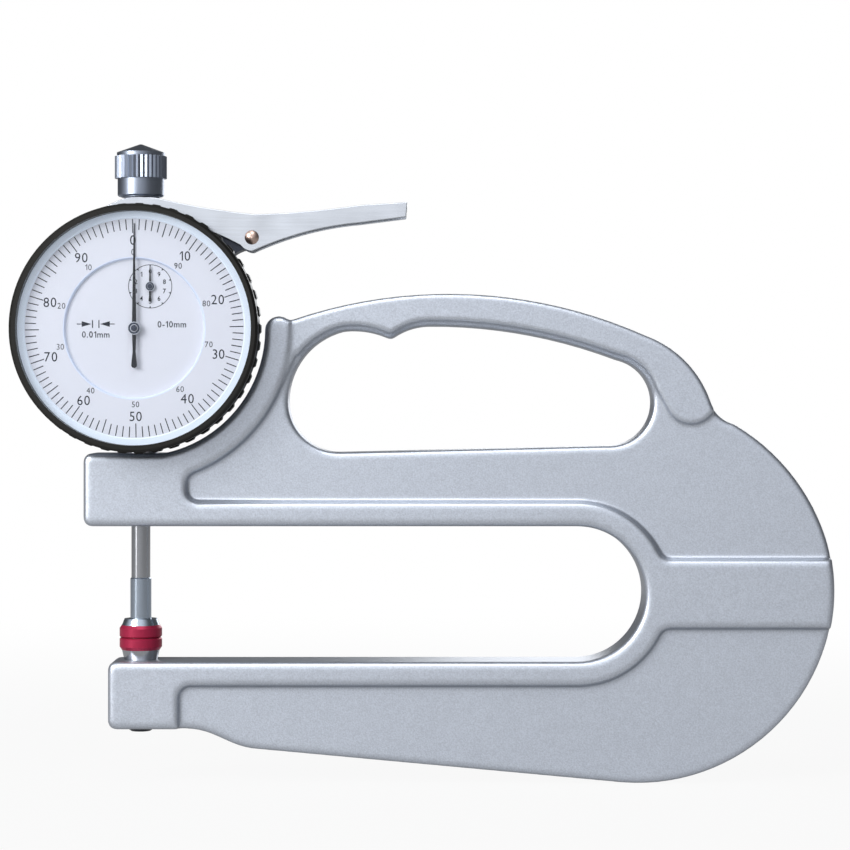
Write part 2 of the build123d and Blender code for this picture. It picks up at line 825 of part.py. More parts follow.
def contact_tip():
    """Upper contact: threaded stud, shank, collar and flat measuring face."""
    body = turned_on_spindle(
        [
            (0.0, closed_gap),
            (contact_face_radius, closed_gap),
            (contact_face_radius, contact_ring_height),
            (contact_face_radius + 0.5, contact_ring_height),
            (contact_collar_radius, contact_collar_z),
            (contact_shank_radius, contact_collar_z),
            (contact_shank_radius, spindle_end_z - 0.25),
            (contact_shank_radius - 0.25, spindle_end_z),
            (stud_radius, spindle_end_z),
            (stud_radius, spindle_end_z + stud_length),
            (0.0, spindle_end_z + stud_length),
        ]
    )
    return body


def lifting_knob():
    """Knurled knob with a conical cap, screwed on the top of the spindle."""
    sleeve_low = knob_base_z + 0.2
    body = turned_on_spindle(
        [
            (0.0, knob_base_z),
            (knob_neck_radius, knob_base_z),
            (knob_neck_radius, sleeve_low),
            (knob_sleeve_radius - 0.3, sleeve_low),
            (knob_sleeve_radius, sleeve_low + 0.3),
            (knob_sleeve_radius, knob_knurl_low_z),
            (knob_band_radius, knob_knurl_low_z),
            (knob_band_radius, knob_band_z),
            (0.3, knob_apex_z),
            (0.0, knob_apex_z),
        ]
    )
    points = []
    for index in range(2 * knob_knurl_count):
        radius = knob_knurl_radius - knob_knurl_depth * (index % 2)
        points.append(point_on_circle(radius, index * 180.0 / knob_knurl_count))
    knurl = make_face(Polyline(*points, close=True))
    body += extrude(Plane.XY.offset(knob_knurl_low_z) * knurl, amount=knob_knurl_height)
    tapped_top = knob_base_z + knob_stud_length + running_gap
    return body - upright(knob_stud_radius + seat_fit, knob_base_z - 1.0, tapped_top)


def guide_pin():
    """Pin in the spindle that runs in the rear bridge's slot and stops it turning."""
    return rod_along_y(guide_pin_radius, 0.0, dial_height + guide_pin_height, -0.4, rear_bridge_back_y)


def spring_hook_pin():
    """Pin in the spindle that carries the upper end of the return spring."""
    reach = spring_x + spring_coil_radius + 0.4
    return rod_along_x(spring_peg_radius, dial_height + spring_high, -0.4, reach)


# Lifting lever and its bracket

def involute_lift(turn):
    """Point of the fork's edge that meets the knob after a turn in radians."""
    height = lever_lift_height + lever_arm * turn
    x = -lever_arm * cos(turn) - height * sin(turn)
    z = -lever_arm * sin(turn) + height * cos(turn)
    return (lever_pivot_x + x, lever_pivot_z + z)


def lever_top(drop):
    """Top line of the lever from the blade to the fork, lowered by a drop."""
    blade = (lever_pivot_x + 25.6, lever_pivot_z + 7.7 - drop)
    blade_middle = (lever_pivot_x + 13.2, lever_pivot_z + 6.2 - drop)
    saddle = (lever_pivot_x + 0.7, lever_pivot_z + 5.5 - drop)
    neck = (lever_pivot_x - 13.6, lever_pivot_z + 7.5 - drop)
    fork_root = (fork_root_x + 1.0, involute_lift(0.0)[1] - 0.3 - drop)
    return [ThreePointArc(blade, blade_middle, saddle), ThreePointArc(saddle, neck, fork_root)]


def lever_side():
    """Side view of the lever: fork on the left, pivot ear, finger blade on the right."""
    lift_start = involute_lift(0.0)
    lift_end = involute_lift(lever_turn)
    ear_low = (lever_pivot_x, lever_pivot_z - lever_ear_radius)
    ear_side = point_on_circle(lever_ear_radius, 242.0, lever_pivot_x, lever_pivot_z)
    ear_front = point_on_circle(lever_ear_radius, 215.0, lever_pivot_x, lever_pivot_z)
    fork_round = (lift_end[0] - 1.5, lift_end[1] - 0.67)
    fork_tip = (lift_end[0] - 2.8, lift_end[1] - 1.4)
    fork_low = (fork_tip[0] + 0.4, fork_tip[1] - 1.5)
    fork_root = (fork_root_x, lever_pivot_z + 5.3)
    belly = (lever_pivot_x - 13.3, lever_pivot_z + 2.7)
    blade_under = (lever_pivot_x + 11.4, lever_pivot_z + 0.9)
    blade_low = (lever_pivot_x + 25.6, lever_pivot_z + 3.5)
    end_low = (lever_pivot_x + lever_blade_length - 0.3, lever_pivot_z + 4.9)
    end_high = (lever_pivot_x + lever_blade_length, lever_pivot_z + 8.4)
    top = lever_top(0.0)
    edges = [
        Spline(lift_start, involute_lift(lever_turn / 3), involute_lift(2 * lever_turn / 3), lift_end),
        ThreePointArc(lift_end, fork_round, fork_tip),
        Line(fork_tip, fork_low),
        Line(fork_low, fork_root),
        ThreePointArc(fork_root, belly, ear_front),
        ThreePointArc(ear_front, ear_side, ear_low),
        ThreePointArc(ear_low, blade_under, blade_low),
        Polyline(blade_low, end_low, end_high, top[0] @ 0),
        *top,
        Line(top[1] @ 1, lift_start),
    ]
    return make_face(edges)


def lever_channel():
    """The space under the lever's folded top, open below."""
    top = lever_top(lever_sheet)
    below = lever_pivot_z - lever_ear_radius - 1.0
    start = top[0] @ 0
    end = top[1] @ 1
    blade_end = (lever_pivot_x + lever_blade_length + 1.0, lever_pivot_z + 8.5 - lever_sheet)
    under = Polyline(end, (end.X, below), (blade_end[0], below), blade_end, start)
    return make_face([*top, under])


def lift_lever():
    """Folded sheet channel: two flanges joined along the top, open round the spindle."""
    outer = slab(lever_side(), -lever_half_width, lever_half_width)
    channel_half = lever_half_width - lever_sheet
    outer -= slab(lever_channel(), -channel_half, channel_half)
    fork_gap = box_profile(-2 * lever_arm, fork_web_x, 0.0, 2 * knob_apex_z)
    outer -= slab(fork_gap, -channel_half, channel_half)
    pin_hole = disc(lever_pin_radius + seat_fit, lever_pivot_x, lever_pivot_z)
    return outer - slab(pin_hole, -lever_half_width - 1.0, lever_half_width + 1.0)


def lever_pin():
    """Pivot pin through the bracket, riveted over the lever's flanges."""
    pin = rod_along_y(lever_pin_radius, lever_pivot_x, lever_pivot_z,
                      -lever_half_width - 0.1, lever_half_width + 0.1)
    for side in (-1, 1):
        head = revolve(
            make_face([
                Line((0.0, 0.0), (lever_rivet_head, 0.0)),
                dome_arc(lever_rivet_head, 0.0, lever_rivet_rise),
                Line((0.0, lever_rivet_rise), (0.0, 0.0)),
            ]),
            Axis.Y,
        )
        if side < 0:
            head = Rot(180, 0, 0) * head
        pin += Pos(lever_pivot_x, side * (lever_half_width + seat_fit), lever_pivot_z) * head
    return pin


def lever_bracket():
    """Bracket on the case: a curved foot and a lug between the lever's flanges."""
    inner = case_radius + seat_fit
    outer = case_radius + bracket_foot
    band = disc(outer) - disc(inner)
    low_angle = bracket_screw_angle - bracket_foot_half_angle
    high_angle = bracket_screw_angle + bracket_foot_half_angle
    sector = make_face(Polyline(
        (0.0, 0.0),
        point_on_circle(2 * case_radius, low_angle),
        point_on_circle(2 * case_radius, high_angle),
        close=True,
    ))
    foot = slab(band & sector, -bracket_foot_half_width, bracket_foot_half_width)
    pivot_x = lever_pivot_x
    pivot_z = lever_pivot_z - dial_height
    low_root = point_on_circle(inner + 0.4, low_angle + 0.5)
    high_root = point_on_circle(inner + 0.4, high_angle - 0.5)
    boss_low = point_on_circle(bracket_boss_radius, 250.0, pivot_x, pivot_z)
    boss_high = point_on_circle(bracket_boss_radius, 110.0, pivot_x, pivot_z)
    waist_low = ((low_root[0] + boss_low[0]) / 2 - 0.5, (low_root[1] + boss_low[1]) / 2 + 0.5)
    lug_profile = make_face([
        ThreePointArc(low_root, waist_low, boss_low),
        ThreePointArc(boss_low, (pivot_x + bracket_boss_radius, pivot_z), boss_high),
        Polyline(boss_high, high_root, low_root),
    ])
    lug = slab(lug_profile, -bracket_half_width, bracket_half_width)
    reach = bracket_foot_half_width + 1.0
    hole = slab(disc(lever_pin_radius + sliding_fit, pivot_x, pivot_z), -reach, reach)
    body = on_dial(foot + lug - hole - slab(disc(inner), -reach, reach))
    for side in (-1, 1):
        body -= bracket_screw_hole(side)
    return body


def bracket_screw_hole(side):
    """Clearance for one bracket screw through the foot and the case's wall."""
    low = case_radius - case_wall - 1.0
    high = case_radius + bracket_foot + 1.0
    return bracket_screw_bar(side, movement_screw_radius + sliding_fit, low, high)


def bracket_screw_bar(side, radius, near_radius, far_radius):
    """A round bar along one bracket screw's axis, between two distances from the dial's centre."""
    bar = Pos(0, side * bracket_screw_y, 0) * Rot(0, 90 - bracket_screw_angle, 0) * extrude(
        Plane.XY.offset(near_radius) * Circle(radius), amount=far_radius - near_radius
    )
    return on_dial(bar)


def bracket_screws():
    """Two screws that hold the bracket to the case."""
    screws = []
    seat = case_radius + bracket_foot + seat_fit
    for side in (-1, 1):
        screw = bracket_screw_bar(side, movement_screw_radius, case_radius - case_wall, seat + 0.2)
        screw += bracket_screw_bar(side, movement_screw_head, seat, seat + 0.6)
        screws.append(screw)
    return group(screws)


# Movement plates and pillars

def plate_profile():
    """Rounded plate outline shared by the movement's plates."""
    plate = Rectangle(2 * plate_half_width, 2 * plate_half_height)
    return fillet(plate.vertices(), plate_corner)


def bearing_places():
    """Centres of the rack arbor, the centre arbor and the counter arbor."""
    return [(rack_arbor_x, rack_arbor_z), (0.0, 0.0), (-rack_arbor_x, -rack_arbor_z)]


def corner_pillar_places():
    """Centres of the four corner pillars."""
    return [(side * pillar_x, end * pillar_z) for side in (-1, 1) for end in (-1, 1)]


def front_pillar_places():
    """Pillars that stand clear of both large wheels."""
    return [
        (-pillar_x, pillar_z),
        (pillar_x, -pillar_z),
        (-side_pillar_x, side_pillar_z),
        (side_pillar_x, -side_pillar_z),
    ]


def movement_plate():
    """Front plate, seated on the case's front wall."""
    plate = plate_profile()
    for x, z in bearing_places():
        plate -= disc(jewel_radius + seat_fit, x, z)
    return on_dial(slab(plate, front_plate_front_y, front_plate_back_y))


def gear_bridge():
    """Skeleton bridge behind the wheels, in front of the spindle."""
    plate = plate_profile()
    plate -= Pos(-6.3, 6.0) * SlotOverall(5.5, 3.0)
    plate -= Pos(6.3, -6.9) * SlotOverall(5.5, 2.6)
    plate -= disc(arbor_radius + 0.4, rack_arbor_x, rack_arbor_z)
    plate -= disc(jewel_radius + seat_fit)
    plate -= disc(jewel_radius + seat_fit, -rack_arbor_x, -rack_arbor_z)
    plate -= disc(spring_peg_radius + seat_fit, spring_x, spring_low)
    for x, z in front_pillar_places()[2:]:
        plate -= disc(movement_screw_radius + sliding_fit, x, z)
    return on_dial(slab(plate, gear_bridge_front_y, gear_bridge_back_y))


def rear_bridge():
    """Bridge behind the spindle: rack arbor bearing and the guide pin's slot."""
    plate = plate_profile()
    plate -= disc(jewel_radius + seat_fit, rack_arbor_x, rack_arbor_z)
    slot_low = guide_pin_height - guide_pin_radius - running_gap
    slot_high = guide_pin_height + measuring_range + guide_pin_radius + running_gap
    slot = Pos(0, (slot_low + slot_high) / 2) * Rot(0, 0, 90)
    plate -= slot * SlotOverall(slot_high - slot_low, 2 * (guide_pin_radius + sliding_fit))
    for x, z in corner_pillar_places():
        plate -= disc(movement_screw_radius + sliding_fit, x, z)
    return on_dial(slab(plate, rear_bridge_front_y, rear_bridge_back_y))


def front_pillars():
    """Turned pillars between the front plate and the gear bridge."""
    pillars = []
    for index, (x, z) in enumerate(front_pillar_places()):
        pillar = slab(disc(pillar_radius, x, z), front_plate_back_y, gear_bridge_front_y)
        if index >= 2:
            tapped = disc(movement_screw_radius + sliding_fit, x, z)
            pillar -= slab(tapped, gear_bridge_front_y - 2.0, gear_bridge_front_y + 1.0)
        pillars.append(on_dial(pillar))
    return group(pillars)


def rear_pillars():
    """Turned pillars between the gear bridge and the rear bridge."""
    pillars = []
    for x, z in corner_pillar_places():
        pillar = slab(disc(pillar_radius, x, z), gear_bridge_back_y, rear_bridge_front_y)
        tapped = disc(movement_screw_radius + sliding_fit, x, z)
        pillar -= slab(tapped, rear_bridge_front_y - 3.0, rear_bridge_front_y + 1.0)
        pillars.append(on_dial(pillar))
    return group(pillars)


def bridge_screw(x, z, seat_y):
    """Slotted screw with its head on a bridge's rear face."""
    screw = slab(disc(movement_screw_radius, x, z), seat_y - 2.2, seat_y + 0.2)
    head_y = seat_y + movement_screw_head_height
    screw += slab(disc(movement_screw_head, x, z), seat_y, head_y)
    slot = Pos(x, z) * Rectangle(2 * movement_screw_head + 1.0, 0.3)
    return on_dial(screw - slab(slot, head_y - 0.25, head_y + 1.0))


def bridge_screws():
    """Screws of both bridges."""
    screws = [bridge_screw(x, z, rear_bridge_back_y) for x, z in corner_pillar_places()]
    screws += [bridge_screw(x, z, gear_bridge_back_y) for x, z in front_pillar_places()[2:]]
    return group(screws)


def jewel(x, z, front_y, back_y, bore):
    """One bearing jewel set in a plate."""
    ring = disc(jewel_radius, x, z) - disc(bore + sliding_fit, x, z)
    return on_dial(slab(ring, front_y, back_y))


def jewel_bearings():
    """Six jewels, two for each arbor."""
    rack, centre, counter = bearing_places()
    return group([
        jewel(*rack, front_plate_front_y, front_plate_back_y, pivot_radius),
        jewel(*rack, rear_bridge_front_y, rear_bridge_back_y, pivot_radius),
        jewel(*centre, front_plate_front_y, front_plate_back_y, arbor_radius),
        jewel(*centre, gear_bridge_front_y, gear_bridge_back_y, pivot_radius),
        jewel(*counter, front_plate_front_y, front_plate_back_y, arbor_radius),
        jewel(*counter, gear_bridge_front_y, gear_bridge_back_y, pivot_radius),
    ])


# Gear train

def tooth_outline(teeth, module, root_drop, tip_rise, first_angle, flank_steps):
    """Outline of a spur gear with involute flanks, one tooth centred on first_angle."""
    pitch_circle = teeth * module / 2
    base_circle = pitch_circle * cos(radians(pressure_angle))
    root_circle = pitch_circle - root_drop
    tip_circle = pitch_circle + tip_rise
    start = max(root_circle, base_circle)
    half_pitch_angle = (pi * module / 2 - gear_backlash) / (2 * pitch_circle)
    flank = []
    for step in range(flank_steps + 1):
        radius = start + (tip_circle - start) * step / flank_steps
        narrowing = involute(base_circle, radius) - involute(base_circle, pitch_circle)
        flank.append((radius, half_pitch_angle - narrowing))
    if root_circle < base_circle:
        flank.insert(0, (root_circle, flank[0][1]))
    points = []
    for tooth in range(teeth):
        middle = radians(first_angle) + 2 * pi * tooth / teeth
        for radius, half in flank:
            points.append((radius * cos(middle - half), radius * sin(middle - half)))
        for radius, half in reversed(flank):
            points.append((radius * cos(middle + half), radius * sin(middle + half)))
    return make_face(Polyline(*points, close=True))


def involute(base_circle, radius):
    """Involute function of the pressure angle at a radius."""
    angle = acos(min(1.0, base_circle / radius))
    return tan(angle) - angle


def spoked_wheel(x, z, first_angle):
    """Large wheel of the train, crossed out to thin spokes."""
    blank = tooth_outline(wheel_teeth, gear_module, 1.15 * gear_module, 0.75 * gear_module, first_angle, 1)
    window = disc(wheel_radius - 1.15 * gear_module - wheel_rim) - disc(wheel_hub_radius)
    for index in range(wheel_spokes):
        angle = index * 360.0 / wheel_spokes
        window -= Rot(0, 0, angle) * Pos(wheel_radius / 2, 0) * Rectangle(wheel_radius, spoke_width)
    profile = blank - window - disc(arbor_radius + seat_fit)
    return on_dial(slab(Pos(x, z) * profile, wheel_front_y, wheel_back_y))


def direction(from_point, to_point):
    """Angle in degrees from one centre to another."""
    return degrees(atan2(to_point[1] - from_point[1], to_point[0] - from_point[0]))


def rack_wheel():
    """Wheel on the rack arbor that drives the centre pinion."""
    rack, centre, _ = bearing_places()
    return spoked_wheel(*rack, direction(rack, centre))


def take_up_wheel():
    """Wheel on the counter arbor, driven by the centre pinion and loaded by the hairspring."""
    _, centre, counter = bearing_places()
    return spoked_wheel(*counter, direction(counter, centre))


def arbor(x, z, stations):
    """Turned arbor from (radius, front y, back y) stations."""
    body = slab(disc(stations[0][0], x, z), stations[0][1], stations[0][2])
    for radius, front_y, back_y in stations[1:]:
        body += slab(disc(radius, x, z), front_y, back_y)
    return on_dial(body)


def rack_arbor():
    """Arbor with the pinion that the rack turns."""
    x, z = bearing_places()[0]
    body = arbor(x, z, [
        (pivot_radius, front_plate_front_y + 0.1, front_plate_back_y + 0.3),
        (arbor_radius, front_plate_back_y + 0.2, rear_bridge_front_y - 0.2),
        (pivot_radius, rear_bridge_front_y - 0.3, rear_bridge_back_y - 0.1),
    ])
    teeth = tooth_outline(
        rack_pinion_teeth, rack_pitch / pi, rack_depth - rack_pitch_depth, rack_pitch_depth - 0.04, 0.0, 3
    )
    return body + on_dial(slab(Pos(x, z) * teeth, -rack_pinion_half_width, rack_pinion_half_width))


def centre_arbor():
    """Arbor with the centre pinion; its long nose carries the pointer."""
    rack, centre, _ = bearing_places()
    body = arbor(*centre, [
        (arbor_radius, pointer_y - pointer_hub_rise - pointer_nose, wheel_front_y),
        (pivot_radius, wheel_back_y, gear_bridge_back_y - 0.1),
    ])
    gap_angle = direction(centre, rack) + 180.0 / centre_pinion_teeth
    teeth = tooth_outline(
        centre_pinion_teeth, gear_module, 1.2 * gear_module, 0.7 * gear_module, gap_angle, 3
    )
    return body + on_dial(slab(teeth, wheel_front_y - pinion_overhang, wheel_back_y + pinion_overhang))


def counter_arbor():
    """Arbor of the take-up wheel; its nose carries the counter hand."""
    return arbor(*bearing_places()[2], [
        (arbor_radius, counter_hand_y - 0.5, wheel_back_y + 0.3),
        (pivot_radius, wheel_back_y + 0.2, gear_bridge_back_y - 0.1),
    ])


def hairspring_middle_y():
    """Depth of the hairspring's middle, between the front plate and the wheel."""
    return (front_plate_back_y + wheel_front_y) / 2


def collet():
    """Collet that grips the hairspring's inner end on the counter arbor."""
    x, z = bearing_places()[2]
    ring = disc(collet_radius, x, z) - disc(arbor_radius + seat_fit, x, z)
    half = hairspring_height / 2
    return on_dial(slab(ring, hairspring_middle_y() - half, hairspring_middle_y() + half))


def hairspring():
    """Flat spiral spring of semicircular half turns."""
    x, z = bearing_places()[2]
    inner = collet_radius + 0.12
    outer_edges = []
    inner_edges = []
    for edges, shift in ((inner_edges, 0.0), (outer_edges, hairspring_strip)):
        radius = inner + shift
        end = radius
        side = 1
        for _ in range(2 * hairspring_turns):
            start_x = side * end
            radius = end + hairspring_gap / 4
            end = radius + hairspring_gap / 4
            stop_x = -side * end
            middle_x = (start_x + stop_x) / 2
            edges.append(ThreePointArc((start_x, 0.0), (middle_x, side * radius), (stop_x, 0.0)))
            side = -side
    start_cap = Line(inner_edges[0] @ 0, outer_edges[0] @ 0)
    end_cap = Line(inner_edges[-1] @ 1, outer_edges[-1] @ 1)
    strip = make_face(inner_edges + outer_edges + [start_cap, end_cap])
    half = hairspring_height / 2
    return on_dial(slab(Pos(x, z) * strip, hairspring_middle_y() - half, hairspring_middle_y() + half))


def hairspring_stud():
    """Stud on the front plate that holds the hairspring's outer end."""
    x, z = bearing_places()[2]
    reach = collet_radius + 0.12 + hairspring_gap * hairspring_turns + hairspring_strip
    return on_dial(rod_along_y(0.35, x + reach + 0.4, z, front_plate_back_y, wheel_front_y - 0.15))


# Pointers

def hand(tip, tail, hub_radius, hub_width, tip_width):
    """Outline of a pointer that stands straight up."""
    blade = make_face(Polyline(
        (-hub_width / 2, 0.0),
        (-tip_width / 2, tip),
        (tip_width / 2, tip),
        (hub_width / 2, 0.0),
        (0.62 * hub_width, -tail),
        (-0.62 * hub_width, -tail),
        close=True,
    ))
    return blade + disc(hub_radius)


def pointer():
    """Main pointer with its raised hub."""
    profile = hand(pointer_tip, pointer_tail, pointer_hub_radius, pointer_hub_width, pointer_tip_width)
    body = slab(profile, pointer_y - pointer_sheet, pointer_y)
    body += slab(disc(pointer_hub_radius - 0.35), pointer_y - pointer_hub_rise, pointer_y + 0.4)
    body -= slab(disc(arbor_radius + seat_fit), pointer_y - 2.0, pointer_y + 2.0)
    return on_dial(body)


def counter_hand():
    """Small hand that counts the main pointer's turns."""
    profile = hand(counter_tip, counter_tail, counter_hub_radius, 0.7, 0.25)
    body = slab(profile, counter_hand_y - pointer_sheet, counter_hand_y)
    body -= slab(disc(arbor_radius + seat_fit), counter_hand_y - 1.0, counter_hand_y + 1.0)
    x, z = bearing_places()[2]
    return on_dial(Pos(x, 0, z) * body)


# Return spring

def spring_peg():
    """Peg on the gear bridge that holds the return spring's lower end."""
    return on_dial(rod_along_y(spring_peg_radius, spring_x, spring_low, gear_bridge_front_y, 1.2))


def return_spring():
    """Coil spring that pulls the spindle down, stretched between its two pegs."""
    low = spring_low + spring_peg_radius + spring_wire_radius + 0.05
    high = spring_high - spring_peg_radius - spring_wire_radius - 0.05
    path = Helix(pitch=(high - low) / spring_turns, height=high - low, radius=spring_coil_radius)
    start = Plane(origin=path @ 0, z_dir=path % 0)
    coil = sweep(start * Rectangle(2 * spring_wire_radius, 2 * spring_wire_radius), path=path)
    return on_dial(Pos(spring_x, 0, low) * coil)


def sub_parts():
    """Every sub-part by its name."""
    return {
        "frame": frame_casting(),
        "anvil": anvil(),
        "anvil_ring": contact_ring(-1),
        "anvil_screw": anvil_screw(),
        "stem_clamp_screw": stem_clamp_screw(),
        "indicator_case": indicator_case(),
        "stem": stem(),
        "upper_bush": upper_bush(),
        "back_cover": back_cover(),
        "back_cover_screws": back_cover_screws(),
        "bezel_retaining_wire": bezel_retaining_wire(),
        "inner_dial": inner_dial(),
        "bezel": bezel(),
        "dial_ring": dial_ring(),
        "crystal_seat_ring": crystal_seat_ring(),
        "crystal": crystal(),
        "spindle": spindle(),
        "contact_tip": contact_tip(),
        "contact_ring": contact_ring(1),
        "lifting_knob": lifting_knob(),
        "guide_pin": guide_pin(),
        "spring_hook_pin": spring_hook_pin(),
        "lift_lever": lift_lever(),
        "lever_pin": lever_pin(),
        "lever_bracket": lever_bracket(),
        "bracket_screws": bracket_screws(),
        "movement_plate": movement_plate(),
        "gear_bridge": gear_bridge(),
        "rear_bridge": rear_bridge(),
        "front_pillars": front_pillars(),
        "rear_pillars": rear_pillars(),
        "bridge_screws": bridge_screws(),
        "jewel_bearings": jewel_bearings(),
        "rack_arbor": rack_arbor(),
        "rack_wheel": rack_wheel(),
        "centre_arbor": centre_arbor(),
        "counter_arbor": counter_arbor(),
        "take_up_wheel": take_up_wheel(),
        "hairspring_collet": collet(),
        "hairspring": hairspring(),
        "hairspring_stud": hairspring_stud(),
        "pointer": pointer(),
        "counter_hand": counter_hand(),
        "spring_peg": spring_peg(),
        "return_spring": return_spring(),
    }


def main():
    """Write every sub-part."""
    os.makedirs("parts", exist_ok=True)
    for name, shape in sub_parts().items():
        save(name, shape)


if __name__ == "__main__":
    main()
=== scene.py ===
"""Looks of a deep-throat thickness gauge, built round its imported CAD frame.

The gauge's lengths come from the frame or are written in millimetres, which MM turns to metres.
The studio's lamps and floor are in metres.
"""

import logging
import math
from collections.abc import Iterable, Sequence
from dataclasses import dataclass, field
from enum import Enum

import bmesh
import bpy
from mathutils import Matrix, Vector


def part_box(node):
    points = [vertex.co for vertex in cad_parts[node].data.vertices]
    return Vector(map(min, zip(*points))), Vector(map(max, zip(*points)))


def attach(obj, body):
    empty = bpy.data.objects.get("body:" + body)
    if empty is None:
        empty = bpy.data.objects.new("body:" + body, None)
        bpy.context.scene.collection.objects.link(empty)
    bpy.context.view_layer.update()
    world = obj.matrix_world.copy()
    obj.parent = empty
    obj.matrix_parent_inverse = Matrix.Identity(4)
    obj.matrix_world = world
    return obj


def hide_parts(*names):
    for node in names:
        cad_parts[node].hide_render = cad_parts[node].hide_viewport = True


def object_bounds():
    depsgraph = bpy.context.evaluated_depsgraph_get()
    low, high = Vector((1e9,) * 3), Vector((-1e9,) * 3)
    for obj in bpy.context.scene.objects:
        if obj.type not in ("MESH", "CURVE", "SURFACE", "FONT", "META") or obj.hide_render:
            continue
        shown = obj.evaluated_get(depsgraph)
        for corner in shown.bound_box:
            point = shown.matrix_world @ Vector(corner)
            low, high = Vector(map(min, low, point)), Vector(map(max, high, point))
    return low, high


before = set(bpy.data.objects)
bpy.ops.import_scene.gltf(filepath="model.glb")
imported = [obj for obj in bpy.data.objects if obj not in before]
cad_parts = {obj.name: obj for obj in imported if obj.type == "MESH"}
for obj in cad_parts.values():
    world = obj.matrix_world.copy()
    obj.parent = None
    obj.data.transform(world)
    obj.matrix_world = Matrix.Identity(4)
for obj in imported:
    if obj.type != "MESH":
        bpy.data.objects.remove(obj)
CAD_BOX = [list(corner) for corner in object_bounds()]

MM = 0.001
LOG = logging.getLogger("gauge")
NODES: dict[str, bpy.types.Object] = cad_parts
WHITE = (1.0, 1.0, 1.0, 1.0)

# Shading of meshed solids: corners nearer than the gap are one, faces that meet at more than the
# angle keep a sharp edge, and the weight is how far large faces lead the shading.
WELD_GAP_MM = 0.001
SHARP_DEG = 28.0
FACE_WEIGHT = 80


class Grain(Enum):
    """Direction of a finish's fine marks: how its pattern is scaled along X, Y and Z."""

    EVEN = (1.0, 1.0, 1.0)
    ALONG_X = (0.04, 1.0, 1.0)
    ALONG_Z = (1.0, 1.0, 0.04)
    ROUND_Z = (0.05, 0.05, 1.0)


def linear(hex_colour: str) -> tuple[float, float, float, float]:
    """Turn an sRGB hex colour to linear RGBA.

    Args:
        hex_colour: six hex digits, with or without a leading #.

    Returns:
        Linear red, green, blue and an alpha of 1.
    """
    digits = hex_colour.lstrip("#")
    channels = [int(digits[i:i + 2], 16) / 255 for i in (0, 2, 4)]
    curved = [c / 12.92 if c <= 0.04045 else ((c + 0.055) / 1.055) ** 2.4 for c in channels]
    return (*curved, 1.0)


def add_node(
    tree: bpy.types.NodeTree, kind: str, inputs: dict[str | int, object] | None = None,
    **settings: object,
) -> bpy.types.Node:
    """Add one shader node with its settings, and fill its inputs.

    Args:
        tree: the node tree that gets the node.
        kind: the node's Blender type name.
        inputs: values by input name or number. An output socket is linked, anything else is set.
        settings: attributes to set on the node.

    Returns:
        The new node.
    """
    node = tree.nodes.new(kind)
    for name, value in settings.items():
        setattr(node, name, value)
    for key, value in (inputs or {}).items():
        if isinstance(value, bpy.types.NodeSocket):
            tree.links.new(value, node.inputs[key])
        else:
            node.inputs[key].default_value = value
    return node


def new_material(name: str) -> bpy.types.Material:
    """Start a material.

    Args:
        name: the material's name.

    Returns:
        The material, without any node.
    """
    made = bpy.data.materials.new(name)
    made.use_nodes = True
    made.node_tree.nodes.clear()
    return made


def per_metre(size_mm: float) -> float:
    """Pattern scale that repeats about every size_mm."""
    return 1.0 / (size_mm * MM)


# No finish gets smoother than this roughness.
SMOOTHEST = 0.02


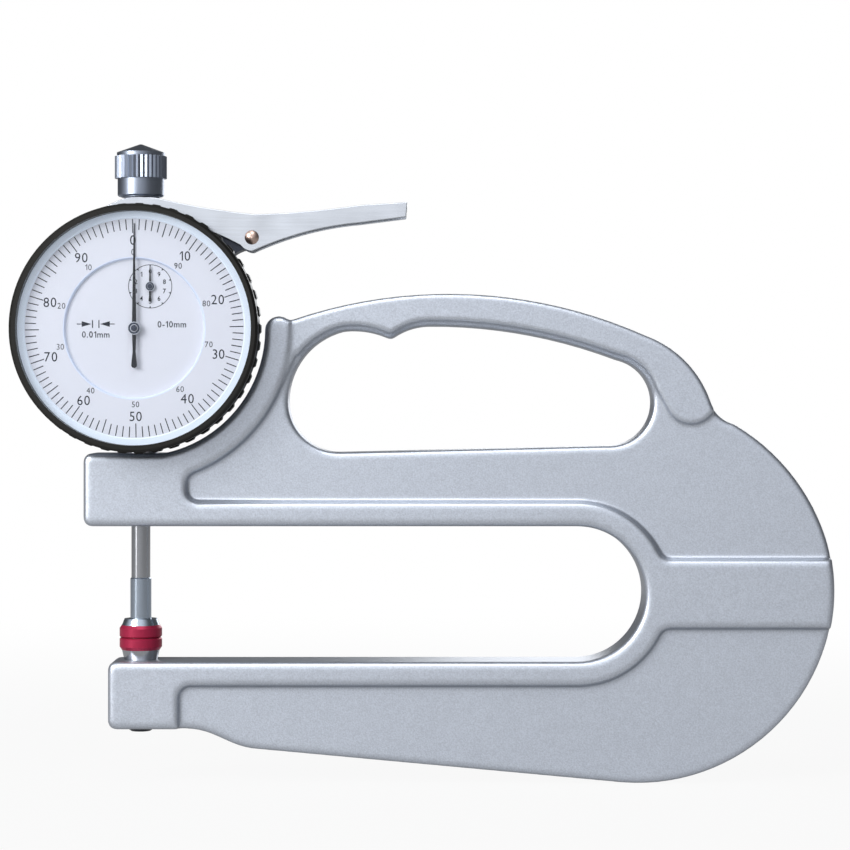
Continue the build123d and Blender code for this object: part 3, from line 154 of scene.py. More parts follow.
@dataclass(frozen=True)
class Finish:
    """A surface with fine grain: colour and roughness vary a little, and a bump carries the grain.

    grain_mm is the width of the marks, variation the share by which colour changes, mottle_mm
    the size of slower unevenness, mottle its share, and bump_mm the height of the marks. coat is
    a clear layer on top, gloss the strength of the clear reflection, and flop the share of
    brightness taken off the colour at a slant, painted shade for dark surroundings that a slanted
    surface would reflect. glow is painted light: the colour given off as emission, which lifts a
    part out of its shade.
    """

    name: str
    colour: str
    metallic: float
    roughness: float
    grain_mm: float = 0.3
    grain: Grain = Grain.EVEN
    variation: float = 0.04
    roughness_spread: float = 0.05
    mottle_mm: float = 6.0
    mottle: float = 0.02
    bump_mm: float = 0.004
    coat: float = 0.0
    coat_roughness: float = 0.1
    gloss: float = 0.5
    flop: float = 0.0
    glow: float = 0.0

    def material(self) -> bpy.types.Material:
        """The material, made once and then shared."""
        found = bpy.data.materials.get(self.name)
        return found or self._make()

    def _make(self) -> bpy.types.Material:
        """Build the nodes.

        Returns:
            The new material.
        """
        made = new_material(self.name)
        tree = made.node_tree
        place = add_node(tree, "ShaderNodeTexCoord")
        stretched = add_node(
            tree, "ShaderNodeMapping",
            {"Vector": place.outputs["Object"], "Scale": self.grain.value},
        )
        fine = add_node(
            tree, "ShaderNodeTexNoise",
            {
                "Vector": stretched.outputs["Vector"],
                "Scale": per_metre(self.grain_mm),
                "Detail": 2.0,
            },
        )
        slow = add_node(
            tree, "ShaderNodeTexNoise",
            {
                "Vector": place.outputs["Object"],
                "Scale": per_metre(self.mottle_mm),
                "Detail": 1.0,
            },
        )
        tone = self._tone(tree, fine.outputs["Fac"], slow.outputs["Fac"])
        spread = add_node(
            tree, "ShaderNodeMapRange",
            {
                "Value": fine.outputs["Fac"],
                "To Min": max(SMOOTHEST, self.roughness - self.roughness_spread),
                "To Max": self.roughness + self.roughness_spread,
            },
        )
        bump = add_node(
            tree, "ShaderNodeBump",
            {"Height": fine.outputs["Fac"], "Distance": self.bump_mm * MM, "Strength": 1.0},
        )
        shader = add_node(
            tree, "ShaderNodeBsdfPrincipled",
            {
                "Base Color": tone,
                "Metallic": self.metallic,
                "Roughness": spread.outputs["Result"],
                "Normal": bump.outputs["Normal"],
                "Coat Weight": self.coat,
                "Coat Roughness": self.coat_roughness,
                "Specular IOR Level": self.gloss,
                # glow is painted light: the finish's own colour given off as emission, though the
                # part is no lamp.
                "Emission Color": linear(self.colour),
                "Emission Strength": self.glow,
            },
        )
        add_node(tree, "ShaderNodeOutputMaterial", {"Surface": shader.outputs["BSDF"]})
        return made

    def _tone(
        self, tree: bpy.types.NodeTree, fine: bpy.types.NodeSocket, slow: bpy.types.NodeSocket
    ) -> bpy.types.NodeSocket:
        """Vary the base colour by the fine grain and the slow mottle, and darken it at a slant as
        painted shade.

        Args:
            tree: the material's nodes.
            fine: the grain's value, 0 to 1.
            slow: the mottle's value, 0 to 1.

        Returns:
            The socket that carries the colour.
        """
        grain = add_node(
            tree, "ShaderNodeMapRange",
            {"Value": fine, "To Min": 1.0 - self.variation, "To Max": 1.0 + self.variation},
        )
        mottle = add_node(
            tree, "ShaderNodeMapRange",
            {"Value": slow, "To Min": 1.0 - self.mottle, "To Max": 1.0 + self.mottle},
        )
        level = add_node(
            tree, "ShaderNodeMath", {0: grain.outputs["Result"], 1: mottle.outputs["Result"]},
            operation="MULTIPLY",
        )
        # Painted shade: the colour loses the share flop where the surface is seen at a slant.
        slant = add_node(tree, "ShaderNodeLayerWeight", {"Blend": 0.5})
        lost = add_node(
            tree, "ShaderNodeMapRange",
            {"Value": slant.outputs["Facing"], "To Min": 1.0, "To Max": 1.0 - self.flop},
        )
        seen = add_node(
            tree, "ShaderNodeMath", {0: level.outputs["Value"], 1: lost.outputs["Result"]},
            operation="MULTIPLY",
        )
        scaled = add_node(
            tree, "ShaderNodeVectorMath",
            {0: linear(self.colour)[:3], "Scale": seen.outputs["Value"]},
            operation="SCALE",
        )
        return scaled.outputs["Vector"]


@dataclass(frozen=True)
class ClearPlastic:
    """Moulded acrylic window: clear from the front, and at a slant its pale colour grows opaque, a
    painted sheen on its real gloss.
    """

    name: str = "acrylic_window_polished"
    colour: str = "#D5DCE8"
    alpha_front: float = 0.02
    alpha_edge: float = 0.16
    roughness: float = 0.03
    ior: float = 1.49

    def material(self) -> bpy.types.Material:
        """The window's material.

        Returns:
            A mostly transparent, glossy material.
        """
        made = new_material(self.name)
        tree = made.node_tree
        slant = add_node(tree, "ShaderNodeLayerWeight", {"Blend": 0.25})
        # Painted sheen: the pale colour grows more opaque at a slant, where the window would
        # reflect more.
        alpha = add_node(
            tree, "ShaderNodeMapRange",
            {
                "Value": slant.outputs["Facing"],
                "To Min": self.alpha_front,
                "To Max": self.alpha_edge,
            },
        )
        shader = add_node(
            tree, "ShaderNodeBsdfPrincipled",
            {
                "Base Color": linear(self.colour),
                "Roughness": self.roughness,
                "IOR": self.ior,
                "Alpha": alpha.outputs["Result"],
                "Coat Weight": 1.0,
                "Coat Roughness": self.roughness,
            },
        )
        add_node(tree, "ShaderNodeOutputMaterial", {"Surface": shader.outputs["BSDF"]})
        return made


# Silver paint on a casting: metal flakes in a satin lacquer over a sand-cast skin, which give a
# soft shine with a fine even grain. The flakes are drawn a few times coarser than they are.
CAST_PAINT = Finish(
    "silver_flake_paint_on_casting", "#D9DFE9", metallic=0.86, roughness=0.37,
    grain_mm=0.34, variation=0.24, roughness_spread=0.08, mottle_mm=3.2, mottle=0.03, bump_mm=0.03,
    # flop darkens the paint at a slant: painted shade for the dark surroundings that its rounded
    # edges would reflect.
    flop=0.45,
)
# Hardened tool steel, ground round: near mirror, with marks that run round the bar.
GROUND_STEEL = Finish(
    "tool_steel_ground_round", "#BBBDC1", metallic=1.0, roughness=0.17,
    grain_mm=0.12, grain=Grain.ROUND_Z, variation=0.05, bump_mm=0.0006,
)
# Hard chrome on the contact's shank: bluer than the bare spindle, with the same round marks.
CHROMED_SHANK = Finish(
    "hard_chrome_turned", "#B8C3D0", metallic=1.0, roughness=0.2,
    grain_mm=0.12, grain=Grain.ROUND_Z, variation=0.04, bump_mm=0.0005,
)
# Alloy steel screws with a dark oxide skin: almost black, with a low sheen.
BLACK_OXIDE = Finish(
    "steel_black_oxide", "#2C2F36", metallic=0.7, roughness=0.38,
    grain_mm=0.15, variation=0.06, bump_mm=0.001,
)
# Satin chrome over turned brass, on the case, the cover and the knob: a soft blue-grey shine.
SATIN_CHROME = Finish(
    "satin_chrome_turned", "#979FAD", metallic=1.0, roughness=0.34,
    grain_mm=0.14, grain=Grain.ROUND_Z, variation=0.03, roughness_spread=0.03, bump_mm=0.0002,
)
# Bright chrome on the pressed lever: uneven, soft reflections of rolled sheet under thin plating.
PLATED_SHEET = Finish(
    "bright_chrome_on_pressed_sheet", "#EAEEF4", metallic=1.0, roughness=0.24,
    grain_mm=0.5, grain=Grain.ALONG_X, variation=0.12, mottle_mm=9.0, mottle=0.2, bump_mm=0.004,
    # flop darkens the chrome at a slant: painted shade for the dark surroundings that its edges
    # would reflect.
    flop=0.6,
)
# Red dyed anodised aluminium: a deep satin red, lighter where it faces the light.
RED_ANODISED = Finish(
    "aluminium_anodised_red", "#A82145", metallic=0.45, roughness=0.36,
    grain_mm=0.12, grain=Grain.ROUND_Z, variation=0.05, bump_mm=0.0008,
)
# Black anodised turned aluminium: brownish black with a fine satin shine.
BLACK_ANODISED = Finish(
    "aluminium_anodised_black", "#23221F", metallic=0.5, roughness=0.36,
    grain_mm=0.14, variation=0.08, bump_mm=0.0012,
)
# Baked white enamel on a brass dial: matt, very slightly blue.
DIAL_ENAMEL = Finish(
    "dial_enamel_baked_white", "#D9DCE6", metallic=0.0, roughness=0.55,
    grain_mm=0.2, variation=0.006, mottle_mm=9.0, mottle=0.004, bump_mm=0.0006, gloss=0.3,
)
# Bevelled edge of the dial's joint: its bluish grey paints the soft shade line of the step, and a
# painted glow keeps it pale.
DIAL_JOINT_PAINTED_GLOW = Finish(
    "dial_joint_painted_shade_glow", "#BFC9DD", metallic=0.0, roughness=0.5,
    grain_mm=0.2, variation=0.006, mottle=0.004, bump_mm=0.0006, glow=0.32,
)
# Moulded spacer under the window: pale blue, with a painted glow that keeps it pale in the bezel's
# shadow.
SPACER_PAINTED_GLOW = Finish(
    "acrylic_spacer_painted_glow", "#C4CFDD", metallic=0.0, roughness=0.45,
    grain_mm=0.3, variation=0.006, mottle=0.004, bump_mm=0.0006, glow=0.42,
)
# Screen printed dial ink: soft black, slightly blue.
DIAL_INK = Finish(
    "dial_ink_screen_printed", "#1E222B", metallic=0.0, roughness=0.6,
    grain_mm=0.15, variation=0.05, bump_mm=0.0004, gloss=0.15,
)
# Blackened brass pointers: a flat black that hardly shines.
POINTER_LACQUER = Finish(
    "brass_blackened_matt", "#16171B", metallic=0.1, roughness=0.5,
    grain_mm=0.12, variation=0.05, bump_mm=0.0004, gloss=0.25,
)
# Turned hub of a pointer: darkened steel. The light that its rings catch is painted on as separate
# light rings.
HUB_STEEL = Finish(
    "steel_hub_turned", "#454B59", metallic=0.9, roughness=0.3,
    grain_mm=0.12, variation=0.06, bump_mm=0.0006,
)
# Painted highlights on the hub's turned rings: thin light lines laid on the dark steel where the
# rings would catch light.
HUB_PAINTED_HIGHLIGHT = Finish(
    "steel_hub_painted_highlight", "#D3D9E3", metallic=0.7, roughness=0.3,
    grain_mm=0.12, variation=0.04, bump_mm=0.0004,
)
# Nickel over copper on the rivet: warm and bright.
COPPER_NICKEL = Finish(
    "nickel_plated_copper_rivet", "#CDB3A6", metallic=1.0, roughness=0.3,
    grain_mm=0.2, variation=0.05, bump_mm=0.001,
)
# Phosphated steel bracket: dark grey and dull.
PHOSPHATED = Finish(
    "steel_phosphated_dark_grey", "#4E535E", metallic=0.55, roughness=0.46,
    grain_mm=0.2, variation=0.08, bump_mm=0.002,
)
# Brass movement plates, brushed one way: warm yellow with fine upright lines.
BRUSHED_BRASS = Finish(
    "brass_plate_brushed", "#C9A25B", metallic=1.0, roughness=0.3,
    grain_mm=0.12, grain=Grain.ALONG_Z, variation=0.07, bump_mm=0.001,
)
# Synthetic ruby bearings: deep red and glossy.
RUBY = Finish(
    "synthetic_ruby_polished", "#9E1238", metallic=0.0, roughness=0.08,
    grain_mm=0.4, variation=0.04, bump_mm=0.0002, coat=0.6, coat_roughness=0.03,
)
# Polished acrylic of the window: hardly seen from the front, with a shine at its edge that is
# partly real gloss and partly painted sheen.
WINDOW = ClearPlastic()


def report(piece: bpy.types.Object) -> None:
    """Log one finished piece."""
    LOG.info("%s: %d faces", piece.name, len(piece.data.polygons))


def linked(name: str, data: bpy.types.ID) -> bpy.types.Object:
    """Put data into the scene as an object.

    Args:
        name: the object's name.
        data: its mesh, lamp or camera.

    Returns:
        The linked object.
    """
    made = bpy.data.objects.new(name, data)
    bpy.context.scene.collection.objects.link(made)
    return made


def middle_of(box: tuple[Vector, Vector]) -> tuple[float, float]:
    """Middle of a box as seen from the front, as (x, z) in metres."""
    low, high = box
    return ((low.x + high.x) / 2, (low.z + high.z) / 2)


def dress(names: Iterable[str], finish: Finish) -> None:
    """Give CAD nodes a finish.

    Args:
        names: the nodes' names.
        finish: what they are finished with.
    """
    material = finish.material()
    for name in names:
        slots = NODES[name].data.materials
        slots.clear()
        slots.append(material)


def add_modifier(piece: bpy.types.Object, kind: str, **settings: object) -> None:
    """Add one modifier with its settings.

    Args:
        piece: the object that gets it.
        kind: the modifier's Blender type name.
        settings: attributes to set on the modifier.
    """
    modifier = piece.modifiers.new(kind.lower(), kind)
    for name, value in settings.items():
        setattr(modifier, name, value)


def shade_smooth(data: bpy.types.Mesh) -> None:
    """Shade every face of a mesh smoothly."""
    data.polygons.foreach_set("use_smooth", [True] * len(data.polygons))


def soften(piece: bpy.types.Object, sharp_deg: float = SHARP_DEG) -> None:
    """Shade a meshed solid smoothly round its curves and keep its edges crisp.

    Args:
        piece: the object to shade. Its own mesh keeps its points.
        sharp_deg: faces that meet at more than this angle keep a sharp edge.
    """
    shade_smooth(piece.data)
    add_modifier(piece, "WELD", merge_threshold=WELD_GAP_MM * MM)
    add_modifier(piece, "EDGE_SPLIT", split_angle=math.radians(sharp_deg), use_edge_sharp=False)
    add_modifier(piece, "WEIGHTED_NORMAL", weight=FACE_WEIGHT)


def polish(names: Iterable[str], sharp_deg: float = SHARP_DEG) -> None:
    """Soften the shading of CAD nodes and report them.

    Args:
        names: the nodes' names.
        sharp_deg: faces that meet at more than this angle keep a sharp edge.
    """
    for name in names:
        soften(NODES[name], sharp_deg)
        report(NODES[name])


# The print against the built-in typeface: its width, and as shares of the height the gap
# between two characters and the flag of the 1. A character is made two half depths deep.
LETTER_WIDTH = 0.93
LETTER_GAP = 0.165
FLAG = 0.22
FLAG_LINE = 0.15
CURVE_STEPS = 3
HALF_DEPTH = 0.5


def glyph(char: str, weight: float) -> tuple[list[Vector], list[list[int]]]:
    """One character as a closed solid that starts at x = 0 and is one unit deep.

    Args:
        char: the character.
        weight: how far its strokes are thickened.

    Returns:
        Its corners, and its faces as corner numbers.
    """
    curve = bpy.data.curves.new("print", "FONT")
    curve.body = char
    curve.size = 1.0
    curve.resolution_u = CURVE_STEPS
    curve.extrude = HALF_DEPTH
    curve.offset = weight
    holder = bpy.data.objects.new("print", curve)
    flat = bpy.data.meshes.new_from_object(holder)
    left = min(v.co.x for v in flat.vertices)
    corners = [Vector(((v.co.x - left) * LETTER_WIDTH, v.co.y, v.co.z)) for v in flat.vertices]
    faces = [list(face.vertices) for face in flat.polygons]
    bpy.data.objects.remove(holder)
    bpy.data.curves.remove(curve)
    bpy.data.meshes.remove(flat)
    if char == "1":
        add_flag(corners, faces)
    return corners, faces


def add_flag(corners: list[Vector], faces: list[list[int]]) -> None:
    """Give the plain 1 of the typeface a flag at its top left.

    Args:
        corners: the character's corners. They move right, and the flag's are added.
        faces: the character's faces. The flag's are added.
    """
    top = max(p.y for p in corners)
    tall = top - min(p.y for p in corners)
    drop, line = FLAG * tall, FLAG_LINE * tall
    outline = [(drop, top), (0.0, top - drop), (0.0, top - drop - line), (drop, top - line)]
    for p in corners:
        p.x += drop
    count, first = len(outline), len(corners)
    near = [first + i for i in range(count)]
    far = [first + count + i for i in range(count)]
    corners += [Vector((x, y, depth)) for depth in (HALF_DEPTH, -HALF_DEPTH) for x, y in outline]
    faces += [near, far[::-1]]
    for i in range(count):
        j = (i + 1) % count
        faces.append([near[j], near[i], far[i], far[j]])


def around(
    hub: tuple[float, float], turns: float, out_mm: float, side_mm: float = 0.0
) -> tuple[float, float]:
    """A place round a hub.

    Args:
        hub: (x, z) of the hub in metres.
        turns: clockwise turns from the top.
        out_mm: distance outwards from the hub in millimetres.
        side_mm: distance to the right of that line in millimetres.

    Returns:
        The place as (x, z) in metres.
    """
    angle = 2 * math.pi * turns
    x = out_mm * math.sin(angle) + side_mm * math.cos(angle)
    z = out_mm * math.cos(angle) - side_mm * math.sin(angle)
    return (hub[0] + x * MM, hub[1] + z * MM)


# A point of a turned profile that is nearer to the axis than this, in metres, lies on it.
ON_AXIS = 1e-9


class Draft:
    """Collects simple solids into one mesh."""

    def __init__(self) -> None:
        """Start with an empty mesh."""
        self.mesh = bmesh.new()

    def plate(self, outline: Sequence[tuple[float, float]], front: float, back: float) -> None:
        """Add a flat plate.

        Args:
            outline: (x, z) corners in metres, in order.
            front: depth of its front face.
            back: depth of its back face.
        """
        near = [self.mesh.verts.new((x, front, z)) for x, z in outline]
        far = [self.mesh.verts.new((x, back, z)) for x, z in outline]
        self.mesh.faces.new(near)
        self.mesh.faces.new(list(reversed(far)))
        count = len(outline)
        for i in range(count):
            j = (i + 1) % count
            self.mesh.faces.new((near[j], near[i], far[i], far[j]))

    def ring(
        self, centre: tuple[float, float], section: Sequence[tuple[float, float]], steps: int
    ) -> None:
        """Add a ring.

        Args:
            centre: (x, z) of its middle.
            section: (radius, depth) corners of its section, in order.
            steps: how many straight pieces make the circle.
        """
        loops = []
        for radius, depth in section:
            loop = []
            for i in range(steps):
                angle = 2 * math.pi * i / steps
                x = centre[0] + radius * math.sin(angle)
                z = centre[1] + radius * math.cos(angle)
                loop.append(self.mesh.verts.new((x, depth, z)))
            loops.append(loop)
        for this, other in zip(loops, loops[1:] + loops[:1]):
            for i in range(steps):
                j = (i + 1) % steps
                self.mesh.faces.new((this[i], this[j], other[j], other[i]))

    def hoop(
        self, centre: tuple[float, float], inner: float, outer: float,
        front: float, back: float, steps: int = 96,
    ) -> None:
        """Add a flat ring.

        Args:
            centre: (x, z) of its middle.
            inner: inner radius.
            outer: outer radius.
            front: depth of its front face.
            back: depth of its back face.
            steps: how many straight pieces make the circle.
        """
        section = ((inner, front), (outer, front), (outer, back), (inner, back))
        self.ring(centre, section, steps)

    def turned(self, profile: Sequence[tuple[float, float]], placed: Matrix, steps: int) -> None:
        """Add a closed turned shape.

        Args:
            profile: (radius, height) points that start and end on the axis.
            placed: where the axis foot lies, with its Z along the axis.
            steps: how many straight pieces make the circle.
        """
        rows: list[list[bmesh.types.BMVert]] = []
        for radius, height in profile:
            if radius < ON_AXIS:
                rows.append([self.mesh.verts.new(placed @ Vector((0, 0, height)))])
                continue
            row = []
            for i in range(steps):
                angle = 2 * math.pi * i / steps
                point = Vector((radius * math.cos(angle), radius * math.sin(angle), height))
                row.append(self.mesh.verts.new(placed @ point))
            rows.append(row)
        for low, high in zip(rows, rows[1:]):
            for i in range(steps):
                j = (i + 1) % steps
                corners = [
                    low[i % len(low)], low[j % len(low)], high[j % len(high)], high[i % len(high)],
                ]
                self.mesh.faces.new(list(dict.fromkeys(corners)))

    def lettering(
        self, text: str, height: float, centre: tuple[float, float],
        front: float, back: float, weight: float = 0.0,
    ) -> None:
        """Add printed characters that read from the front.

        Args:
            text: the characters.
            height: height of a capital or digit.
            centre: (x, z) of their middle.
            front: depth of the print's face.
            back: depth of the surface that it lies on.
            weight: how far the strokes are thickened.
        """
        letters = [glyph(char, weight) for char in text]
        points = [p for corners, _ in letters for p in corners]
        low_y, high_y = min(p.y for p in points), max(p.y for p in points)
        gap = LETTER_GAP * (high_y - low_y)
        width = sum(max(p.x for p in corners) for corners, _ in letters) + gap * (len(text) - 1)
        scale = height / (high_y - low_y)
        start = -width / 2
        for corners, faces in letters:
            made = []
            for p in corners:
                x = centre[0] + (start + p.x) * scale
                z = centre[1] + (p.y - (low_y + high_y) / 2) * scale
                made.append(self.mesh.verts.new((x, front if p.z > 0 else back, z)))
            for face in faces:
                self.mesh.faces.new([made[i] for i in face])
            start += max(p.x for p in corners) + gap

    def finish(
        self, name: str, finish: Finish | ClearPlastic, smooth: bool = False
    ) -> bpy.types.Object:
        """Turn the collected solids into an object.

        Args:
            name: the piece's name.
            finish: what it is finished with.
            smooth: whether curves are shaded smoothly.

        Returns:
            The linked object.
        """
        bmesh.ops.recalc_face_normals(self.mesh, faces=self.mesh.faces)
        data = bpy.data.meshes.new(name)
        self.mesh.to_mesh(data)
        self.mesh.free()
        data.materials.append(finish.material())
        piece = linked(name, data)
        if smooth:
            soften(piece)
        return piece


@dataclass
class CastFrame:
    """The casting with its soft, painted edges, and the screws in it.

    Its points are smoothed in rounds, each by the share softness.
    """

    facet_mm: float = 0.42
    quick_facets: float = 2.0
    rounds: int = 4
    softness: float = 0.5
    screws: tuple[str, ...] = ("anvil_screw", "stem_clamp_screw")

    def build(self) -> None:
        """Make the casting and dress its screws."""
        casting = self._cast()
        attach(casting, "frame")
        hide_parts("frame")
        report(casting)
        dress(self.screws, BLACK_OXIDE)
        polish(self.screws)

    def _cast(self) -> bpy.types.Object:
        """Round every edge and root of the CAD frame by a little, as casting does.

        Returns:
            The casting.
        """
        work = linked("work", NODES["frame"].data.copy())
        facet = self.facet_mm * 1.0
        add_modifier(work, "WELD", merge_threshold=WELD_GAP_MM * MM)
        add_modifier(work, "REMESH", mode="VOXEL", voxel_size=facet * MM)
        add_modifier(work, "SMOOTH", factor=self.softness, iterations=self.rounds)
        graph = bpy.context.evaluated_depsgraph_get()
        data = bpy.data.meshes.new_from_object(work.evaluated_get(graph))
        bpy.data.objects.remove(work)
        data.name = "casting"
        shade_smooth(data)
        data.materials.clear()
        data.materials.append(CAST_PAINT.material())
        return linked("casting", data)


@dataclass
class Contacts:
    """Anvil, moving contact, their coloured rings and the spindle."""

    steel: tuple[str, ...] = ("anvil", "spindle", "guide_pin", "spring_hook_pin", "stem")
    rings: tuple[str, ...] = ("anvil_ring", "contact_ring")

    def build(self) -> None:
        """Dress the contacts and the bars that carry them."""
        dress(self.steel, GROUND_STEEL)
        dress(["contact_tip"], CHROMED_SHANK)
        dress(self.rings, RED_ANODISED)
        polish((*self.steel, "contact_tip", *self.rings))


@dataclass
class Knob:
    """Knurled lifting knob, whose ridges meet at smaller angles than other edges."""

    sharp_deg: float = 20.0

    def build(self) -> None:
        """Dress the knob."""
        dress(["lifting_knob"], SATIN_CHROME)
        polish(["lifting_knob"], self.sharp_deg)


@dataclass
class Lever:
    """Pressed lever with its rivet, bracket and screws.

    Facets that meet at less than flat_deg are made one, and edges sharper than edge_from_deg
    are rounded.
    """

    edge_mm: float = 0.3
    edge_steps: int = 3
    edge_from_deg: float = 40.0
    flat_deg: float = 1.0

    def build(self) -> None:
        """Dress the lever and what carries it."""
        dress(["lift_lever"], PLATED_SHEET)
        dress(["lever_pin"], COPPER_NICKEL)
        dress(["lever_bracket"], PHOSPHATED)
        dress(["bracket_screws"], BLACK_OXIDE)
        self._round_edges(NODES["lift_lever"])
        report(NODES["lift_lever"])
        polish(["lever_pin", "lever_bracket", "bracket_screws"])

    def _round_edges(self, piece: bpy.types.Object) -> None:
        """Round the lever's sharp edges, as pressing and tumbling do.

        Args:
            piece: the lever. Its own mesh keeps its points.
        """
        flat, sharp = math.radians(self.flat_deg), math.radians(self.edge_from_deg)
        shade_smooth(piece.data)
        add_modifier(piece, "WELD", merge_threshold=WELD_GAP_MM * MM)
        add_modifier(piece, "DECIMATE", decimate_type="DISSOLVE", angle_limit=flat)
        add_modifier(
            piece, "BEVEL", width=self.edge_mm * MM, segments=self.edge_steps,
            limit_method="ANGLE", angle_limit=sharp,
        )
        add_modifier(piece, "WEIGHTED_NORMAL", weight=FACE_WEIGHT)


@dataclass
class Case:
    """Indicator case with its bush, cover, cover screws and the bezel's wire."""

    chromed: tuple[str, ...] = ("indicator_case", "upper_bush", "back_cover")

    def build(self) -> None:
        """Dress the case."""
        dress(self.chromed, SATIN_CHROME)
        dress(["back_cover_screws", "bezel_retaining_wire"], GROUND_STEEL)
        polish((*self.chromed, "back_cover_screws"))


@dataclass
class Bezel:
    """Turning bezel with the window and its seat."""

    seat_inner_mm: float = 25.65
    seat_step_mm: float = 0.25
    window_mm: float = 1.2
    window_rings: int = 24
    circle_steps: int = 128

    def build(self) -> None:
        """Dress the bezel, and make its seat ring and the domed window."""
        dress(["bezel"], BLACK_ANODISED)
        polish(["bezel"])
        seat = self._seat()
        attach(seat, "bezel")
        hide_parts("crystal_seat_ring")
        report(seat)
        window = self._window()
        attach(window, "bezel")
        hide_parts("crystal")
        report(window)

    def _seat(self) -> bpy.types.Object:
        """The window's seat with its bevelled inner edge, low enough to cast no shadow.

        Returns:
            The seat ring.
        """
        low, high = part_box("crystal_seat_ring")
        inner, step = self.seat_inner_mm * MM, self.seat_step_mm * MM
        outer, back = (high.x - low.x) / 2, high.y
        section = ((inner, back), (inner + step, back - step), (outer, back - step), (outer, back))
        draft = Draft()
        draft.ring(middle_of((low, high)), section, self.circle_steps)
        # The seat's finish carries a painted glow that keeps it pale where the bezel shades it.
        return draft.finish("spacer_ring", SPACER_PAINTED_GLOW, smooth=True)

    def _window(self) -> bpy.types.Object:
        """The window as one even dome inside the solid that it stands for.

        Returns:
            The window.
        """
        low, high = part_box("crystal")
        rim, crown = (high.x - low.x) / 2, low.y
        thick = self.window_mm * MM
        drop = high.y - thick - crown
        shares = [i / self.window_rings for i in range(self.window_rings + 1)]
        inside = [(rim * share, crown + thick + drop * share**2) for share in shares]
        outside = [(rim * share, crown + drop * share**2) for share in reversed(shares)]
        x, z = middle_of((low, high))
        placed = Matrix.Translation((x, 0, z)) @ Matrix.Rotation(-math.pi / 2, 4, "X")
        draft = Draft()
        draft.turned(inside + outside, placed, self.circle_steps)
        return draft.finish("domed_window", WINDOW, smooth=True)


@dataclass(frozen=True)
class DivisionSign:
    """Sign for one division: two bars with an arrow towards each, sizes in millimetres.

    bar_off and shaft_end are measured from the sign's middle, and middle from the dial's. The
    sizes named half are half heights.
    """

    middle: tuple[float, float] = (-9.1, 1.0)
    bar_off: float = 0.75
    bar_width: float = 0.24
    half_bar: float = 0.92
    head: float = 2.3
    half_head: float = 0.66
    half_shaft: float = 0.1
    shaft_end: float = 4.45


